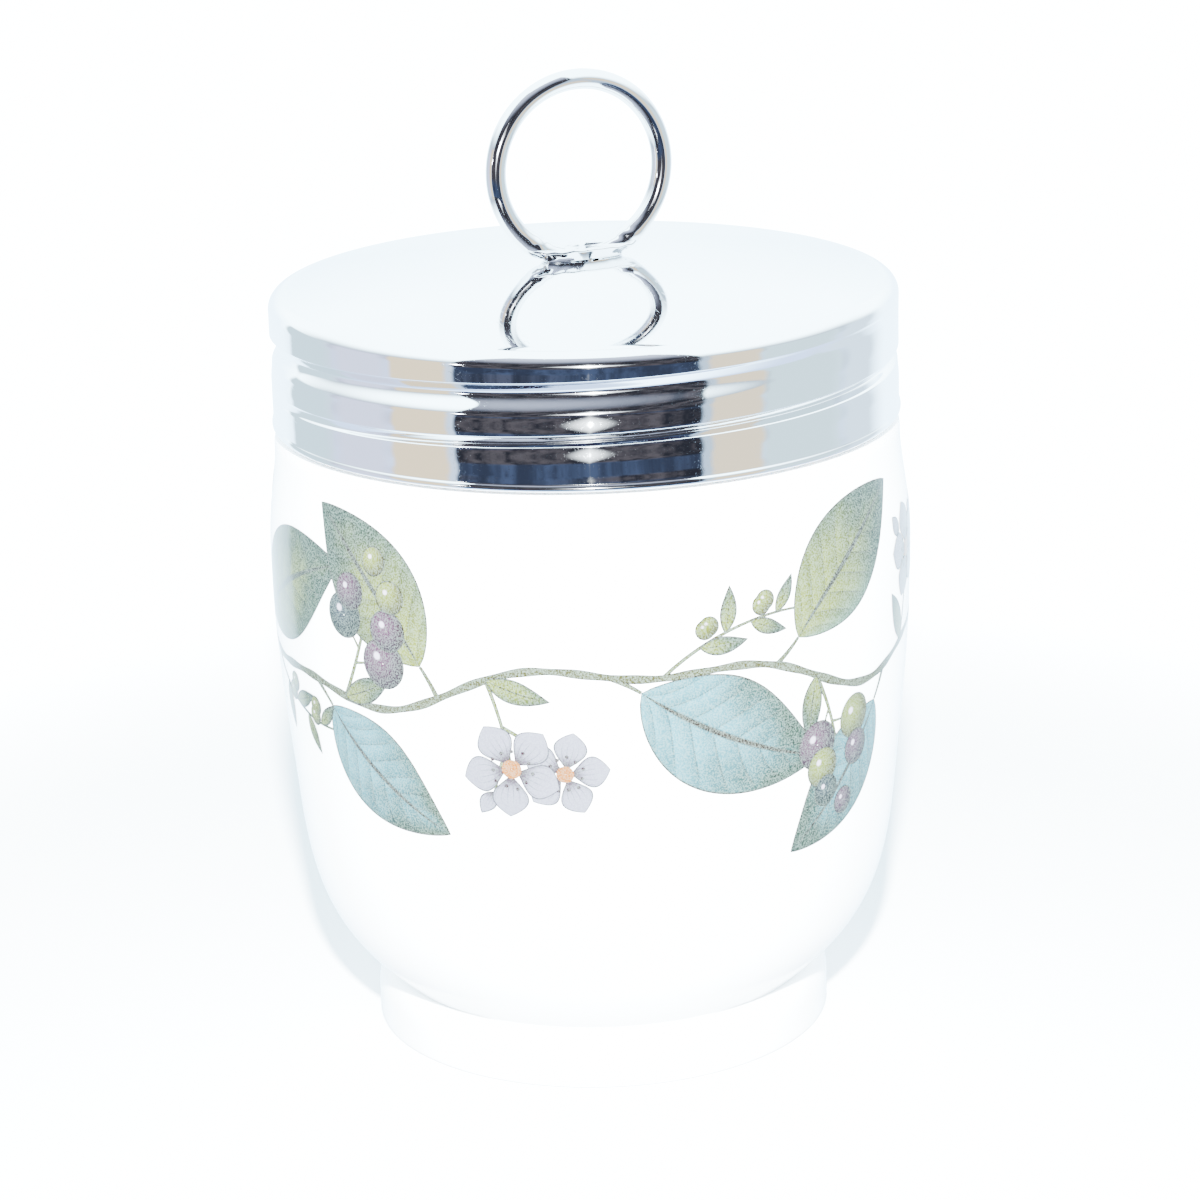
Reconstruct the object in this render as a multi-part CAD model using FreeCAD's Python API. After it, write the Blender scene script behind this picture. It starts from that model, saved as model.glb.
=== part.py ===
import FreeCAD, Part

import math
import os

# Egg coddler: a glazed porcelain cup with a screw neck, and a pressed metal lid with a lifting ring.
# Sizes are in millimetres. The axis of the cup is Z and the base of its foot is at zero.
# The lifting ring stands in the XZ plane, so its hole runs along Y.

# Cup, outside
foot_radius = 21.7
foot_height = 5.3
foot_edge_round = 1.3
waist_radius = 20.2
bowl_turn_radius = 28.45
bowl_turn_height = 23.0
belly_radius = 30.0
belly_height = 47.0
shoulder_height = 58.7
shoulder_round = 1.3
shoulder_proud = 0.1
neck_height = 11.9
rim_round = 1.1

# Cup, inside
wall = 2.9
neck_wall = 2.7
floor_thickness = 3.8
recess_depth = 2.6
foot_ring_width = 2.6
bowl_inner_round = 9.0

# Pull of each curve's control points, as a share of the height that the curve spans
waist_pull_out = 0.32
waist_pull_up = 0.27
turn_pull_in = 0.045
turn_pull_down = 0.5
side_pull_out = 0.03
side_pull_up = 0.33
belly_pull_down = 0.45
shoulder_pull = 0.4

# Pull of the inside's control points, as a share of the wall or the round beside them
inner_neck_pull = 1.6
inner_belly_pull = 3.0
inner_side_pull = 2.0
inner_round_pull = 1.2
inner_floor_pull = 1.8

# Screw thread, shared by the neck and the lid
thread_lead = 4.0
thread_turns = 1.5
thread_front_angle = -112.0
thread_front_rise = 5.05
thread_fade_turns = 0.3
thread_flank_gap = 0.3
thread_root = 0.25
rib_height = 1.1
rib_half_width = 1.2
rib_turns = 1.35
rib_foot_gap = 2.2
neck_gap = 1.45

# Lid cap, pressed from sheet
cap_radius = 29.0
sheet = 0.55
skirt_bottom_gap = 0.3
crown_gap = 0.3
crown_rise = 2.2
crown_roll = 1.4
bead_height = 0.65
bead_proud = 0.12
ridge_depth = 0.75
ridge_short_side = 0.95
ridge_long_side = 1.5

# Lifting ring and the foot that carries it
ring_radius = 8.16
ring_wire = 1.87
ring_hole_gap = 1.05
saddle_top_length = 10.8
saddle_top_width = 3.9
saddle_bottom_length = 7.8
saddle_bottom_width = 3.1
saddle_height = 1.15
saddle_web = 0.35
saddle_fullness = 0.92
saddle_tip = 0.5
saddle_tip_inset = 0.3
tenon_radius = 1.5
rivet_head_radius = 2.7
rivet_head_height = 0.9
rivet_head_rim = 0.2
rivet_head_flat = 0.45
washer_radius = 4.6
washer_thickness = 0.6

# Fits
tenon_clearance = 0.08
seat_gap = 0.04
skin = 0.05

# Fineness of the lofted thread and of the search along its flanks
sections_per_turn = 16
flank_steps = 8

# Places that follow from the sizes
cap_inner = cap_radius - sheet
neck_radius = cap_inner - neck_gap
bore_radius = neck_radius - neck_wall
shoulder_radius = cap_radius + shoulder_proud
rim_height = shoulder_height + neck_height
skirt_bottom = shoulder_height + skirt_bottom_gap
thread_front_height = shoulder_height + thread_front_rise
crown_edge_radius = cap_radius - crown_roll
crown_sphere = (crown_edge_radius**2 + crown_rise**2) / (2 * crown_rise)


def crown_drop(radius):
    """How far the dome has fallen from its centre at a radius."""
    return crown_sphere - math.sqrt(crown_sphere**2 - radius**2)


# The underside of the dome clears the rim where the rim is widest
crown_top = rim_height + crown_gap + sheet + crown_drop(neck_radius - rim_round)
crown_centre = crown_top - crown_sphere
crown_edge_height = crown_top - crown_rise
ring_centre = crown_top + ring_hole_gap + ring_radius - ring_wire / 2
ring_flat = crown_top + saddle_web


def point(radius, height):
    """A point of an outline, in the XZ plane."""
    return FreeCAD.Vector(radius, 0, height)


def line(start, end):
    """A straight edge between two points."""
    return Part.makeLine(start, end)


def arc(start, middle, end):
    """A circular edge through three points."""
    return Part.Arc(start, middle, end).toShape()


def bezier(*poles):
    """A smooth edge with these control points."""
    curve = Part.BezierCurve()
    curve.setPoles(list(poles))
    return curve.toShape()


def quarter(start, end, corner):
    """A rounded corner from start to end, bulging towards the corner."""
    share = 1 - math.sqrt(0.5)
    middle = (start + end) * share + corner * (1 - 2 * share)
    return arc(start, middle, end)


def turned(edges):
    """The solid that a closed outline makes when it turns about the axis."""
    face = Part.Face(Part.Wire(edges))
    solid = face.revolve(FreeCAD.Vector(0, 0, 0), FreeCAD.Vector(0, 0, 1), 360)
    return one_solid(solid)


def one_solid(shape):
    """The only solid of a shape, turned the right way out."""
    if len(shape.Solids) != 1:
        raise ValueError("expected one solid, found %d" % len(shape.Solids))
    solid = shape.Solids[0]
    if solid.Volume < 0:
        solid.reverse()
    return solid


def cup_outside():
    """Outline of the cup's outside, from the foot's ground face to the rim."""
    foot_shoulder = foot_height - foot_edge_round
    waist = point(waist_radius, foot_height)
    turn = point(bowl_turn_radius, bowl_turn_height)
    belly = point(belly_radius, belly_height)
    shoulder = point(shoulder_radius, shoulder_height - shoulder_round)
    ledge = point(shoulder_radius - shoulder_round, shoulder_height)
    bowl_rise = bowl_turn_height - foot_height
    side_rise = belly_height - bowl_turn_height
    top_rise = shoulder_height - belly_height
    return [
        line(point(foot_radius - skin, 0), point(foot_radius, skin)),
        line(point(foot_radius, skin), point(foot_radius, foot_shoulder)),
        quarter(point(foot_radius, foot_shoulder), waist, point(foot_radius, foot_height)),
        bezier(
            waist,
            point(waist_radius + bowl_rise * waist_pull_out, foot_height + bowl_rise * waist_pull_up),
            point(bowl_turn_radius - bowl_rise * turn_pull_in, bowl_turn_height - bowl_rise * turn_pull_down),
            turn,
        ),
        bezier(
            turn,
            point(bowl_turn_radius + side_rise * side_pull_out, bowl_turn_height + side_rise * side_pull_up),
            point(belly_radius, belly_height - side_rise * belly_pull_down),
            belly,
        ),
        bezier(
            belly,
            point(belly_radius, belly_height + top_rise * shoulder_pull),
            point(shoulder_radius, shoulder_height - top_rise * shoulder_pull),
            shoulder,
        ),
        quarter(shoulder, ledge, point(shoulder_radius, shoulder_height)),
        line(ledge, point(neck_radius, shoulder_height)),
        line(point(neck_radius, shoulder_height), point(neck_radius, rim_height - rim_round)),
        quarter(
            point(neck_radius, rim_height - rim_round),
            point(neck_radius - rim_round, rim_height),
            point(neck_radius, rim_height),
        ),
    ]


def cup_inside():
    """Outline of the cup's inside, from the rim down to the middle of the floor."""
    floor_top = recess_depth + floor_thickness
    inner_turn = bowl_turn_radius - wall
    inner_belly = belly_radius - wall
    bore_bottom = shoulder_height - rim_round
    bowl_side = floor_top + bowl_inner_round * 2
    return [
        quarter(
            point(bore_radius + rim_round, rim_height),
            point(bore_radius, rim_height - rim_round),
            point(bore_radius, rim_height),
        ),
        line(point(bore_radius, rim_height - rim_round), point(bore_radius, bore_bottom)),
        bezier(
            point(bore_radius, bore_bottom),
            point(bore_radius, bore_bottom - neck_wall * inner_neck_pull),
            point(inner_belly, belly_height + neck_wall * inner_neck_pull),
            point(inner_belly, belly_height),
        ),
        bezier(
            point(inner_belly, belly_height),
            point(inner_belly, belly_height - wall * inner_belly_pull),
            point(inner_turn, bowl_side + wall * inner_side_pull),
            point(inner_turn, bowl_side),
        ),
        bezier(
            point(inner_turn, bowl_side),
            point(inner_turn, bowl_side - bowl_inner_round * inner_round_pull),
            point(bowl_inner_round * inner_floor_pull, floor_top + skin),
            point(bowl_inner_round, floor_top),
        ),
        line(point(bowl_inner_round, floor_top), point(0, floor_top)),
    ]


def cup_underside():
    """Outline of the recess under the foot, from the axis out to the ground face."""
    ring_inner = foot_radius - foot_ring_width
    return [
        line(point(0, recess_depth), point(ring_inner - recess_depth, recess_depth)),
        quarter(
            point(ring_inner - recess_depth, recess_depth),
            point(ring_inner, 0),
            point(ring_inner, recess_depth),
        ),
        line(point(ring_inner, 0), point(foot_radius - skin, 0)),
    ]


def thread_height(angle):
    """Height of the lid's thread line at an angle in degrees about the axis."""
    return thread_front_height + thread_lead * (angle - thread_front_angle) / 360


def fade(turn, turns):
    """Share of full depth at a place along a thread: none at its ends, all between them."""
    near_end = min(turn, turns - turn) / thread_fade_turns
    share = max(0.0, min(1.0, near_end))
    return share * share * (3 - 2 * share)


def thread_section(angle, base, crest, low, high, height):
    """A closed arc and chord in the radial plane at an angle: base radius and crest radius."""
    flat = [
        point(base, height - low),
        point(crest, height),
        point(base, height + high),
    ]
    turn = FreeCAD.Rotation(FreeCAD.Vector(0, 0, 1), angle)
    start, middle, end = [turn.multVec(place) for place in flat]
    return Part.Wire([arc(start, middle, end), line(end, start)])


def thread_bar(start_angle, turns, lift, base, rest_radius, full_radius, low_side, high_side):
    """A bar that winds up the axis, whose crest moves from rest to full radius and back."""
    count = int(math.ceil(sections_per_turn * turns))
    wires = []
    for step in range(count + 1):
        turn = turns * step / count
        angle = start_angle + 360 * turn
        crest = rest_radius + (full_radius - rest_radius) * fade(turn, turns)
        wires.append(thread_section(angle, base, crest, low_side, high_side, thread_height(angle) + lift))
    return one_solid(Part.makeLoft(wires, True, False))


def thread_start():
    """Angle where the lid's thread starts, a quarter turn before the front."""
    return thread_front_angle - 90


def flank_reach(base, crest, low, high, radius):
    """How far above its thread line an arc section reaches at a radius: a circle through three points."""
    middle = (high - low) / 2
    half_chord = (high + low) / 2
    depth = base - crest
    centre = base + (half_chord**2 - middle**2 - depth**2) / (2 * depth)
    size = (base - centre)**2 + half_chord**2
    across = size - (radius - centre)**2
    return middle + math.sqrt(max(0.0, across))


def rib_lift():
    """How far the neck's rib lies above the lid's ridge: their widest flanks and the gap."""
    rib_crest = neck_radius + rib_height
    ridge_crest = cap_inner - ridge_depth
    widest = 0.0
    for step in range(flank_steps + 1):
        radius = ridge_crest + (rib_crest - ridge_crest) * step / flank_steps
        ridge = flank_reach(cap_inner + thread_root, ridge_crest, ridge_short_side, ridge_long_side, radius)
        rib = flank_reach(neck_radius - thread_root, rib_crest, rib_half_width, rib_half_width, radius)
        widest = max(widest, ridge + rib)
    return widest + thread_flank_gap


def rib_start():
    """Angle where the neck's rib starts, a set height above the shoulder."""
    rise = shoulder_height + rib_foot_gap - rib_lift() - thread_front_height
    return thread_front_angle + 360 * rise / thread_lead


def make_cup():
    """The porcelain cup: foot, bowl, shoulder and screw neck, fired as one piece."""
    rim = line(point(neck_radius - rim_round, rim_height), point(bore_radius + rim_round, rim_height))
    axis = line(point(0, recess_depth + floor_thickness), point(0, recess_depth))
    body = turned(cup_outside() + [rim] + cup_inside() + [axis] + cup_underside())
    rib = thread_bar(
        rib_start(),
        rib_turns,
        rib_lift(),
        neck_radius - thread_root,
        neck_radius - skin,
        neck_radius + rib_height,
        rib_half_width,
        rib_half_width,
    )
    return one_solid(body.fuse(rib))


def cap_outline():
    """Closed outline of the sheet: dome, rolled edge, skirt and the bead at its foot."""
    inner_edge = cap_inner - crown_roll + sheet
    bend = crown_roll - sheet
    dome_middle = crown_edge_radius / 2
    bead_outer = cap_radius + bead_proud
    bead_top = skirt_bottom + bead_height
    skirt_top = crown_edge_height - crown_roll
    bead_middle = skirt_bottom + bead_height / 2
    return [
        arc(
            point(tenon_radius + tenon_clearance, crown_top - crown_drop(tenon_radius + tenon_clearance)),
            point(dome_middle, crown_top - crown_drop(dome_middle)),
            point(crown_edge_radius, crown_edge_height),
        ),
        quarter(
            point(crown_edge_radius, crown_edge_height),
            point(cap_radius, skirt_top),
            point(cap_radius, crown_edge_height),
        ),
        line(point(cap_radius, skirt_top), point(cap_radius, bead_top)),
        arc(point(cap_radius, bead_top), point(bead_outer, bead_middle), point(cap_radius, skirt_bottom)),
        line(point(cap_radius, skirt_bottom), point(cap_inner, skirt_bottom)),
        line(point(cap_inner, skirt_bottom), point(cap_inner, skirt_top)),
        quarter(
            point(cap_inner, skirt_top),
            point(inner_edge, skirt_top + bend),
            point(cap_inner, skirt_top + bend),
        ),
        arc(
            point(inner_edge, skirt_top + bend),
            point(dome_middle, crown_top - sheet - crown_drop(dome_middle)),
            point(tenon_radius + tenon_clearance, crown_top - sheet - crown_drop(tenon_radius)),
        ),
        line(
            point(tenon_radius + tenon_clearance, crown_top - sheet - crown_drop(tenon_radius)),
            point(tenon_radius + tenon_clearance, crown_top - crown_drop(tenon_radius + tenon_clearance)),
        ),
    ]


def make_cap():
    """The lid's cap: a domed sheet whose thread shows as a groove outside and a ridge inside."""
    cap = turned(cap_outline())
    ridge = thread_bar(
        thread_start(),
        thread_turns,
        0,
        cap_inner + thread_root,
        cap_inner + skin,
        cap_inner - ridge_depth,
        ridge_short_side,
        ridge_long_side,
    )
    groove = thread_bar(
        thread_start(),
        thread_turns,
        0,
        cap_radius + thread_root,
        cap_radius + skin,
        cap_radius - ridge_depth,
        ridge_short_side,
        ridge_long_side,
    )
    return one_solid(one_solid(cap.fuse(ridge)).cut(groove))


def hoop(wire_radius, flat):
    """A hoop of round wire in the XZ plane, with its lowest side cut flat at a height."""
    middle = FreeCAD.Vector(0, 0, ring_centre)
    whole = Part.makeTorus(ring_radius, wire_radius, middle, FreeCAD.Vector(0, 1, 0))
    width = ring_radius * 4
    corner = FreeCAD.Vector(-width / 2, -width / 2, flat - width)
    return one_solid(whole.cut(Part.makeBox(width, width, width, corner)))


def make_ring():
    """The lifting ring: a closed hoop of round wire, flattened where it sits in its foot."""
    return hoop(ring_wire / 2, ring_flat + seat_gap)


def boat(length, width, height):
    """A closed wire shaped like a boat seen from above: two arcs that meet in rounded ends."""
    half_length = length / 2
    half_width = width / 2
    tip = half_width * saddle_tip
    side = half_length - half_width
    corners = [
        FreeCAD.Vector(-side, half_width * saddle_fullness, height),
        FreeCAD.Vector(0, half_width, height),
        FreeCAD.Vector(side, half_width * saddle_fullness, height),
        FreeCAD.Vector(half_length - tip * saddle_tip_inset, tip, height),
        FreeCAD.Vector(half_length, 0, height),
        FreeCAD.Vector(half_length - tip * saddle_tip_inset, -tip, height),
        FreeCAD.Vector(side, -half_width * saddle_fullness, height),
        FreeCAD.Vector(0, -half_width, height),
        FreeCAD.Vector(-side, -half_width * saddle_fullness, height),
        FreeCAD.Vector(-half_length + tip * saddle_tip_inset, -tip, height),
        FreeCAD.Vector(-half_length, 0, height),
        FreeCAD.Vector(-half_length + tip * saddle_tip_inset, tip, height),
    ]
    curve = Part.BSplineCurve()
    curve.interpolate(Points=corners, PeriodicFlag=True)
    return Part.Wire([curve.toShape()])


def make_ring_foot():
    """The ring's foot: a saddle on the dome, its tenon through the cap and the head that holds it."""
    saddle_bottom = crown_top - crown_drop(saddle_bottom_length)
    saddle_top = crown_top + saddle_height
    saddle = Part.makeLoft(
        [
            boat(saddle_bottom_length, saddle_bottom_width, saddle_bottom),
            boat(saddle_top_length, saddle_top_width, saddle_top),
        ],
        True,
        False,
    )
    dome = Part.makeSphere(crown_sphere + seat_gap, FreeCAD.Vector(0, 0, crown_centre))
    socket = hoop(ring_wire / 2 + seat_gap, ring_flat)
    saddle = one_solid(one_solid(saddle.cut(dome)).cut(socket))
    washer_bottom = washer_top() - washer_thickness
    tenon_top = crown_top + saddle_web / 2
    head_bottom = washer_bottom - rivet_head_height
    shank_head = turned([
        line(point(0, head_bottom), point(rivet_head_radius * rivet_head_flat, head_bottom)),
        quarter(
            point(rivet_head_radius * rivet_head_flat, head_bottom),
            point(rivet_head_radius, washer_bottom - rivet_head_rim),
            point(rivet_head_radius, head_bottom),
        ),
        line(point(rivet_head_radius, washer_bottom - rivet_head_rim), point(rivet_head_radius, washer_bottom)),
        line(point(rivet_head_radius, washer_bottom), point(tenon_radius, washer_bottom)),
        line(point(tenon_radius, washer_bottom), point(tenon_radius, tenon_top)),
        line(point(tenon_radius, tenon_top), point(0, tenon_top)),
        line(point(0, tenon_top), point(0, head_bottom)),
    ])
    return one_solid(saddle.fuse(shank_head))


def washer_top():
    """Height of the washer's upper face, just under the dome at the washer's edge."""
    return crown_top - sheet - crown_drop(washer_radius) - seat_gap


def make_washer():
    """The plain washer between the dome and the head."""
    bottom = washer_top() - washer_thickness
    hole = tenon_radius + tenon_clearance
    disc = Part.makeCylinder(washer_radius, washer_thickness, FreeCAD.Vector(0, 0, bottom))
    bore = Part.makeCylinder(hole, washer_thickness * 3, FreeCAD.Vector(0, 0, bottom - washer_thickness))
    return one_solid(disc.cut(bore))


def main():
    """Build each piece and write it to its own file."""
    os.makedirs("parts", exist_ok=True)
    pieces = {
        "coddler_cup": make_cup(),
        "lid_cap": make_cap(),
        "lifting_ring": make_ring(),
        "ring_foot": make_ring_foot(),
        "rivet_washer": make_washer(),
    }
    for name, shape in pieces.items():
        shape.exportStep("parts/" + name + ".step")
        box = shape.BoundBox
        print(name, "valid", shape.isValid(), "volume", round(shape.Volume, 2))
        print("  x", round(box.XMin, 2), round(box.XMax, 2), "z", round(box.ZMin, 2), round(box.ZMax, 2))
    print("rim", round(rim_height, 2), "crown top", round(crown_top, 2), "ring centre", round(ring_centre, 2))


main()
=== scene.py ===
"""Looks of a porcelain egg coddler with a screw lid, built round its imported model.

Shapes are worked out in millimetres, in the frame of the cup, and become metres where a mesh is made.
"""

import logging
import math
from dataclasses import dataclass, field
from enum import Enum

import bpy
import numpy as np
from mathutils import Matrix, Vector


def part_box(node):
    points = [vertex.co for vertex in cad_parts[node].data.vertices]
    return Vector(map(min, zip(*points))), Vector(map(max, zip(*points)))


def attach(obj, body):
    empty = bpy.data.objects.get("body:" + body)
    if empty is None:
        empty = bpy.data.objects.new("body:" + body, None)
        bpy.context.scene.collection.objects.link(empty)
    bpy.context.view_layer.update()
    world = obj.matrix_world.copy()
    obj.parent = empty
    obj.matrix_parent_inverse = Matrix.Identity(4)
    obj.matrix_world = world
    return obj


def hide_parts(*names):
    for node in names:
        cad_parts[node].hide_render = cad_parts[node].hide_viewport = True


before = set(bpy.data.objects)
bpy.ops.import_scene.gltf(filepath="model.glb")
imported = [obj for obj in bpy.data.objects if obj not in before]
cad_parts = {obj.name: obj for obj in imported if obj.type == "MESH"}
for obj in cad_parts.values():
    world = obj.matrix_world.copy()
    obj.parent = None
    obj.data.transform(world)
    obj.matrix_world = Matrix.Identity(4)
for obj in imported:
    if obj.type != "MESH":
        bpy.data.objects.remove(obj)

MM = 0.001
TURN = 2 * math.pi
log = logging.getLogger("coddler")


@dataclass(frozen=True)
class Tone:
    """How the picture shows light: screen values from 0 to 255, and the light that gives each one."""

    shown: tuple = (0, 19, 32, 50, 76, 117, 153, 177, 197, 209, 223, 233, 240, 247, 254)
    light: tuple = (0.002, 0.01, 0.02, 0.04, 0.08, 0.18, 0.35, 0.6, 1.0, 1.5, 2.5, 4.0, 6.0, 9.0, 14.0)
    front: float = 23.0

    def glow(self, red: float, green: float, blue: float) -> tuple[float, float, float, float]:
        """The light that the picture shows as a screen colour: a straight line between logarithms of the table."""
        log_light = np.interp((red, green, blue), self.shown, np.log(self.light))
        return tuple(float(value) for value in np.exp(log_light)) + (1.0,)

    def ink(self, red: float, green: float, blue: float) -> tuple[float, float, float, float]:
        """The surface colour that shows as a screen colour under the light at the cup's front."""
        return tuple(value / self.front for value in self.glow(red, green, blue)[:3]) + (1.0,)


TONE = Tone()


def smooth_step(value: np.ndarray) -> np.ndarray:
    """Three squares less two cubes of a value held between 0 and 1."""
    held = np.clip(value, 0.0, 1.0)
    return held * held * (3 - 2 * held)


def bezier(start: tuple, first: tuple, second: tuple, end: tuple, count: int) -> np.ndarray:
    """Points along a cubic curve: the four poles weighted by the cubic Bernstein polynomials.

    Args:
        start, first, second, end: radius and height of the four poles.
        count: how many points, ends included.

    Returns:
        An array of count rows of radius and height.
    """
    share = np.linspace(0.0, 1.0, count)[:, None]
    rest = 1 - share
    poles = [np.array(pole, dtype=float) for pole in (start, first, second, end)]
    return rest**3 * poles[0] + 3 * rest**2 * share * poles[1] + 3 * rest * share**2 * poles[2] + share**3 * poles[3]


def corner(start: tuple, end: tuple, square: tuple, count: int = 9) -> np.ndarray:
    """A quarter of an ellipse from start to end that bulges towards the square corner between them.

    Args:
        start, end: radius and height where the corner begins and ends.
        square: the sharp corner that the round one replaces.
        count: how many points, ends included.

    Returns:
        Points whose place is the square corner plus a cosine of one side and a sine of the other.
    """
    angle = np.linspace(0.0, math.pi / 2, count)[:, None]
    begin, finish, sharp = (np.array(place, dtype=float) for place in (start, end, square))
    middle = begin + finish - sharp
    return middle + (finish - middle) * np.sin(angle) + (begin - middle) * np.cos(angle)


def straight(start: tuple, end: tuple, count: int) -> np.ndarray:
    """Evenly spaced points from start to end, each a radius and a height."""
    return np.linspace(np.array(start, dtype=float), np.array(end, dtype=float), count)


def joined(*runs: np.ndarray) -> np.ndarray:
    """One outline from several runs, each of which starts where the last one ended."""
    return np.concatenate([runs[0]] + [run[1:] for run in runs[1:]])


class MeshWriter:
    """Turns arrays of points into Blender meshes."""

    def grid(self, name: str, points: np.ndarray, wrap_rows: bool = False, wrap_columns: bool = False,
             uv: np.ndarray | None = None, values: dict[str, np.ndarray] | None = None) -> bpy.types.Object:
        """One mesh from a grid of points.

        Args:
            name: the object's name.
            points: rows by columns by 3, in millimetres.
            wrap_rows: whether the last row joins the first.
            wrap_columns: whether the last column joins the first.
            uv: rows by columns by 2, or nothing.
            values: named numbers, rows by columns each.

        Returns:
            The new object, at the origin.
        """
        rows, columns = points.shape[:2]
        index = np.arange(rows * columns).reshape(rows, columns)
        if wrap_rows:
            index = np.vstack([index, index[:1]])
        if wrap_columns:
            index = np.hstack([index, index[:, :1]])
        faces = np.stack([index[:-1, :-1], index[:-1, 1:], index[1:, 1:], index[1:, :-1]], axis=-1).reshape(-1, 4)
        flat = {key: value.reshape(-1) for key, value in (values or {}).items()}
        flat_uv = None if uv is None else uv.reshape(-1, 2)
        return self.faces(name, points.reshape(-1, 3), faces, flat_uv, flat)

    def faces(self, name: str, points: np.ndarray, faces: np.ndarray, uv: np.ndarray | None = None,
              values: dict[str, np.ndarray] | None = None) -> bpy.types.Object:
        """One smooth mesh from points and faces.

        Args:
            name: the object's name.
            points: count by 3, in millimetres.
            faces: four indices a face.
            uv: count by 2, one place a point, or nothing.
            values: named numbers, one a point.

        Returns:
            The new object, at the origin.
        """
        mesh = bpy.data.meshes.new(name)
        mesh.from_pydata((points * MM).tolist(), [], faces.tolist())
        if uv is not None:
            layer = mesh.uv_layers.new(name="UVMap")
            layer.data.foreach_set("uv", uv[faces.reshape(-1)].astype(np.float32).reshape(-1))
        for key, value in (values or {}).items():
            stored = mesh.attributes.new(key, "FLOAT", "POINT")
            stored.data.foreach_set("value", value.astype(np.float32))
        mesh.polygons.foreach_set("use_smooth", np.ones(len(faces), dtype=bool))
        mesh.update()
        made = bpy.data.objects.new(name, mesh)
        bpy.context.scene.collection.objects.link(made)
        return made

    def turned(self, name: str, outline: np.ndarray, columns: int, closed: bool,
               reach: np.ndarray | None = None) -> bpy.types.Object:
        """A surface of turn: each outline point goes round the axis, at its radius plus its own reach.

        Args:
            name: the object's name.
            outline: rows of radius and height; a radius of 0 at an end becomes one closed pole.
            columns: how many places round the axis.
            closed: whether the outline's last point joins its first.
            reach: rows by columns of extra radius, or nothing.

        Returns:
            The new object, at the origin.
        """
        angle = np.arange(columns) * TURN / columns
        radius = outline[:, :1] + (0.0 if reach is None else reach)
        radius = np.broadcast_to(radius, (len(outline), columns))
        height = np.broadcast_to(outline[:, 1:], radius.shape)
        points = np.stack([radius * np.cos(angle), radius * np.sin(angle), height], axis=-1)
        index = np.arange(points.shape[0] * columns).reshape(-1, columns)
        for row in (0, -1):
            if not closed and outline[row, 0] < 1e-6:
                index[row] = index[row, 0]
        if closed:
            index = np.vstack([index, index[:1]])
        index = np.hstack([index, index[:, :1]])
        quads = np.stack([index[:-1, :-1], index[:-1, 1:], index[1:, 1:], index[1:, :-1]], axis=-1).reshape(-1, 4)
        return self.polygons(name, points.reshape(-1, 3), quads)

    def polygons(self, name: str, points: np.ndarray, quads: np.ndarray) -> bpy.types.Object:
        """A smooth mesh from quads, where a quad that meets a pole becomes a triangle."""
        rings = [list(dict.fromkeys(quad)) for quad in quads.tolist()]
        used = np.unique(np.array([place for ring in rings for place in ring]))
        fresh = np.zeros(len(points), dtype=int)
        fresh[used] = np.arange(len(used))
        mesh = bpy.data.meshes.new(name)
        mesh.from_pydata((points[used] * MM).tolist(), [], [[int(fresh[place]) for place in ring] for ring in rings])
        mesh.polygons.foreach_set("use_smooth", np.ones(len(rings), dtype=bool))
        mesh.update()
        made = bpy.data.objects.new(name, mesh)
        bpy.context.scene.collection.objects.link(made)
        return made


WRITER = MeshWriter()


class Graph:
    """A short way to place and join shader nodes in one tree."""

    def __init__(self, tree: bpy.types.NodeTree) -> None:
        """Starts from an emptied tree."""
        self.tree = tree
        tree.nodes.clear()

    def add(self, kind: str, **settings: object) -> bpy.types.Node:
        """A node of a kind. Settings named as sockets fill those sockets, and the rest set its properties.

        Args:
            kind: the node's type name without the words ShaderNode.
            settings: values by name; an underscore stands for a space, and a leading i_N means input N.

        Returns:
            The new node.
        """
        node = self.tree.nodes.new("ShaderNode" + kind)
        for key, value in settings.items():
            if key.startswith("i_"):
                self.fill(node.inputs[int(key[2:])], value)
            elif hasattr(node, key):
                setattr(node, key, value)
            else:
                self.fill(node.inputs[key.replace("_", " ")], value)
        return node

    def fill(self, socket: bpy.types.NodeSocket, value: object) -> None:
        """Joins a socket to another one, or sets its plain value."""
        if isinstance(value, bpy.types.NodeSocket):
            self.tree.links.new(value, socket)
        else:
            socket.default_value = value

    def math(self, operation: str, *values: object, clamp: bool = False) -> bpy.types.NodeSocket:
        """The result of a Math node on one to three values or sockets."""
        node = self.add("Math", operation=operation, use_clamp=clamp)
        for place, value in enumerate(values):
            self.fill(node.inputs[place], value)
        return node.outputs[0]

    def ramp(self, value: object, low: float, high: float, start: float = 0.0, end: float = 1.0) -> bpy.types.NodeSocket:
        """A smooth step from start to end as the value goes from low to high."""
        node = self.add("MapRange", interpolation_type="SMOOTHSTEP")
        for place, number in enumerate((value, low, high, start, end)):
            self.fill(node.inputs[place], number)
        return node.outputs[0]

    def mix(self, share: object, first: object, second: object, blend: str = "MIX") -> bpy.types.NodeSocket:
        """A mix of two colours by a share."""
        node = self.add("Mix", data_type="RGBA", blend_type=blend)
        self.fill(node.inputs[0], share)
        self.fill(node.inputs[6], first)
        self.fill(node.inputs[7], second)
        return node.outputs[2]


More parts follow.
